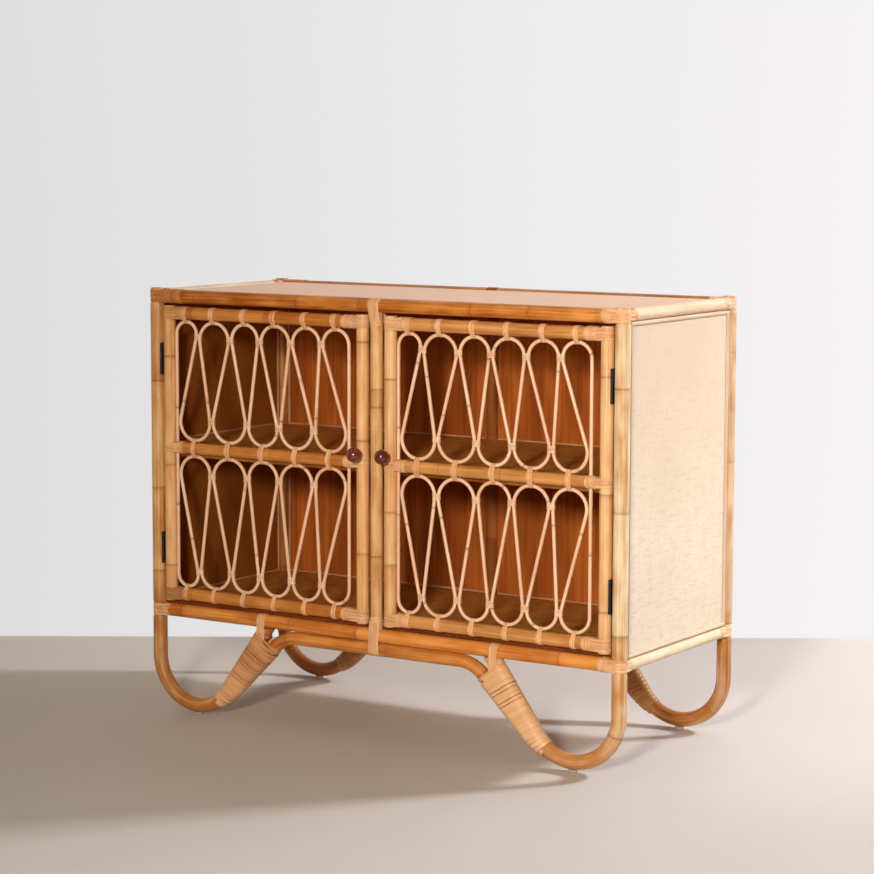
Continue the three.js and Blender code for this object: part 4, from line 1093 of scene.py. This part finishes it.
def make_panels():
    z0, z1 = BOTTOM_RAIL_Z + RAIL_R + 0.3, TOP_RAIL_Z - RAIL_R - 0.3
    low, high = SIDE_RAIL_Z["bottom"] + SIDE_RAIL_R + 0.4, SIDE_RAIL_Z["top"] - SIDE_RAIL_R - 0.4
    seams = {-1: (-442, -262), 1: (178, 352)}
    shaded_gap = Shape(432)
    for hand, side in HANDS:
        shape = Shape(400 + side)
        inner, outer = side * BOARD_IN, side * BOARD_OUT
        board_set(shape, inner, outer, BOARD_BACK, BOARD_Y, z0, z1, seams[side], 0.7, 0.8)
        shape.emit(f"boards_back_{hand}", BOARD, "back_board", f"back_panel_{hand}", sharp=20)
        lining = Shape(404 + side)
        board_set(lining, -LINING_REACH, LINING_REACH, side * LINING_X, side * SIDE_IN, z0, z1, (-20,),
                  0.5, 0.6, -1)
        lining.emit(f"boards_side_{hand}", LINING, "back_board", sharp=20)
        skin = Shape(408 + side)
        box_rings(skin, side * (LINING_X + 0.1), side * SIDE_OUT, -SIDE_REACH, SIDE_REACH, low, high, 0.5)
        skin.emit(f"weave_side_{hand}", SIDE, "woven_panel", f"side_panel_{hand}")
        make_trim(hand, side, low, high)
        inner_mouldings(hand, side, z1)
        # a dark strip along the floor's front edge under the door: painted shadow in the gap between the door
        # and the bottom rail
        box_rings(shaded_gap, side * 13, side * 531.5, -POST_Y + 1.1, -POST_Y + 2.9, FLOOR_Z - 8.8, FLOOR_Z + 0.2)
    # a batten beside the centre post at the back
    batten = Shape(431)
    box_rings(batten, -35, -19, BOARD_Y - 2.6, BOARD_Y + 0.2, z0, z1, 0.6)
    batten.emit("batten_back", BOARD, "back_board", sharp=20)
    shaded_gap.emit("floor_edge_shadow", DOOR_GAP_SHADE, "back_board", sharp=20)
    for node, material in (("top_panel", TOP), ("floor_panel", SHELF), ("shelf_panel", SHELF)):
        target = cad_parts[node]
        target.data.materials.clear()
        target.data.materials.append(material)


make_panels()


# Camera, floor, wall and light

EYE = Vector((2.8273, -4.3676, 1.1931))
YAW, PITCH, ROLL = radians(-32.83), radians(6.614), radians(0.168)
FOCAL_PIXELS, PHOTO_PIXELS = 2581.19, 874


def set_camera():
    data = bpy.data.cameras.new("camera")
    data.sensor_width = 36
    data.lens = FOCAL_PIXELS / PHOTO_PIXELS * data.sensor_width
    camera = in_scene("camera", data)
    camera.matrix_world = (Matrix.Translation(EYE) @ Matrix.Rotation(-YAW, 4, "Z")
                           @ Matrix.Rotation(pi / 2 - PITCH, 4, "X") @ Matrix.Rotation(ROLL, 4, "Z"))
    bpy.context.scene.camera = camera


def stage_plane(name, corners, material):
    mesh = bpy.data.meshes.new(name)
    mesh.from_pydata(corners, [], [(0, 1, 2, 3)])
    mesh.materials.append(material)
    plane = in_scene(name, mesh)
    return mesh


def make_floor():
    m = paint("stage_floor", Roughness=0.62, Specular_IOR_Level=0.3)
    where = m.where()
    cloud = m.spread(m.noise(where, (1.3, 1.3, 1.3), 3), 0.35, 0.65)
    right = m.mix(cloud, (0.62, 0.605, 0.595), (0.59, 0.575, 0.565))
    # painted shade: the floor darker and warmer towards the left, where less light falls
    tint = m.mix(m.spread(m.split(where)[0], 0.9, -0.7), right, (0.6, 0.555, 0.505))
    m.put(m.shader, {"Base Color": tint})
    stage_plane("stage_floor", [(-9, -9, 0), (9, -9, 0), (9, 9, 0), (-9, 9, 0)], m.owner)


def make_wall():
    """A wall that shows only from its front, so that views from behind look through it."""
    m = paint("stage_wall", Roughness=0.9, Base_Color=(0.8, 0.79, 0.79))
    where = m.where("UV")
    # painted light: the glow that camera and glossy rays see is lighter towards the right
    side = m.calc("MULTIPLY_ADD", m.noise(where, (2.5, 1.5, 1)), 0.05, m.split(where)[0])
    pale = m.mix(m.spread(side, 0.44, 0.6), (0.725, 0.715, 0.72), (0.915, 0.895, 0.9))
    glow = m.make("Emission", {"Color": pale, "Strength": 1})
    lit = Value(m, m.shader.outputs[0])
    front = m.make("MixShader", (m.rays("Camera", "Glossy", "Transmission"), lit, glow))
    behind = m.make("NewGeometry", out="Backfacing")
    choice = m.make("MixShader", (behind, front, m.make("BsdfTransparent")))
    m.put(m.tree.nodes["Material Output"], (choice,))
    middle = EYE * Vector((1, 1, 0)) + Vector((sin(YAW), cos(YAW), 0)) * 6.11
    reach, rise = Vector((cos(YAW), -sin(YAW), 0)) * 7, Vector((0, 0, 5))
    corners = [middle + reach, middle + reach + rise, middle - reach + rise, middle - reach]
    mesh = stage_plane("stage_wall", corners, m.owner)
    layer = mesh.uv_layers.new(name="across")
    for loop, value in zip(layer.data, ((1, 0), (1, 1), (0, 1), (0, 0))):
        loop.uv = value


def make_world():
    """Soft light from above, with a pale backdrop for the camera."""
    world = bpy.data.worlds.new("world")
    bpy.context.scene.world = world
    m = Nodes(world, "Background", Color=(1, 0.81, 0.62))
    height = m.split(m.where("Generated"))[2]
    m.put(m.shader, {"Strength": m.spread(height, 0, 1, 0.1, 0.34)})
    pale = m.make("Background", {"Color": (0.86, 0.85, 0.85)})
    choice = m.make("MixShader", (m.rays("Camera", "Transmission"), Value(m, m.shader.outputs[0]), pale))
    m.put(m.tree.nodes["World Output"], (choice,))


def area_lamp(name, place, target, size, power, colour, spread=pi):
    data = bpy.data.lights.new(name, "AREA")
    data.shape, data.size, data.size_y = "RECTANGLE", *size
    data.energy, data.color, data.spread = power, colour, spread
    lamp = in_scene(name, data)
    lamp.location = place
    lamp.rotation_euler = (target - place).to_track_quat("-Z", "Y").to_euler()
    lamp.visible_camera = False


def make_lamps():
    azimuth, elevation, far = radians(42), radians(31), 3.8
    way = Vector((cos(azimuth) * cos(elevation), sin(azimuth) * cos(elevation), sin(elevation)))
    aim = Vector((0, 0, 0.45))
    area_lamp("key", aim + way * far, aim, (0.45, 0.45), 128, (0.965, 0.97, 1))
    area_lamp("front", Vector((1.75, -4.3, 1.7)), Vector((0.5, 0, 0.64)), (0.45, 0.5), 23, (1, 0.9, 0.76),
              radians(64))


set_camera()
make_floor()
make_wall()
make_world()
make_lamps()
bpy.context.scene.view_settings.view_transform = "Standard"
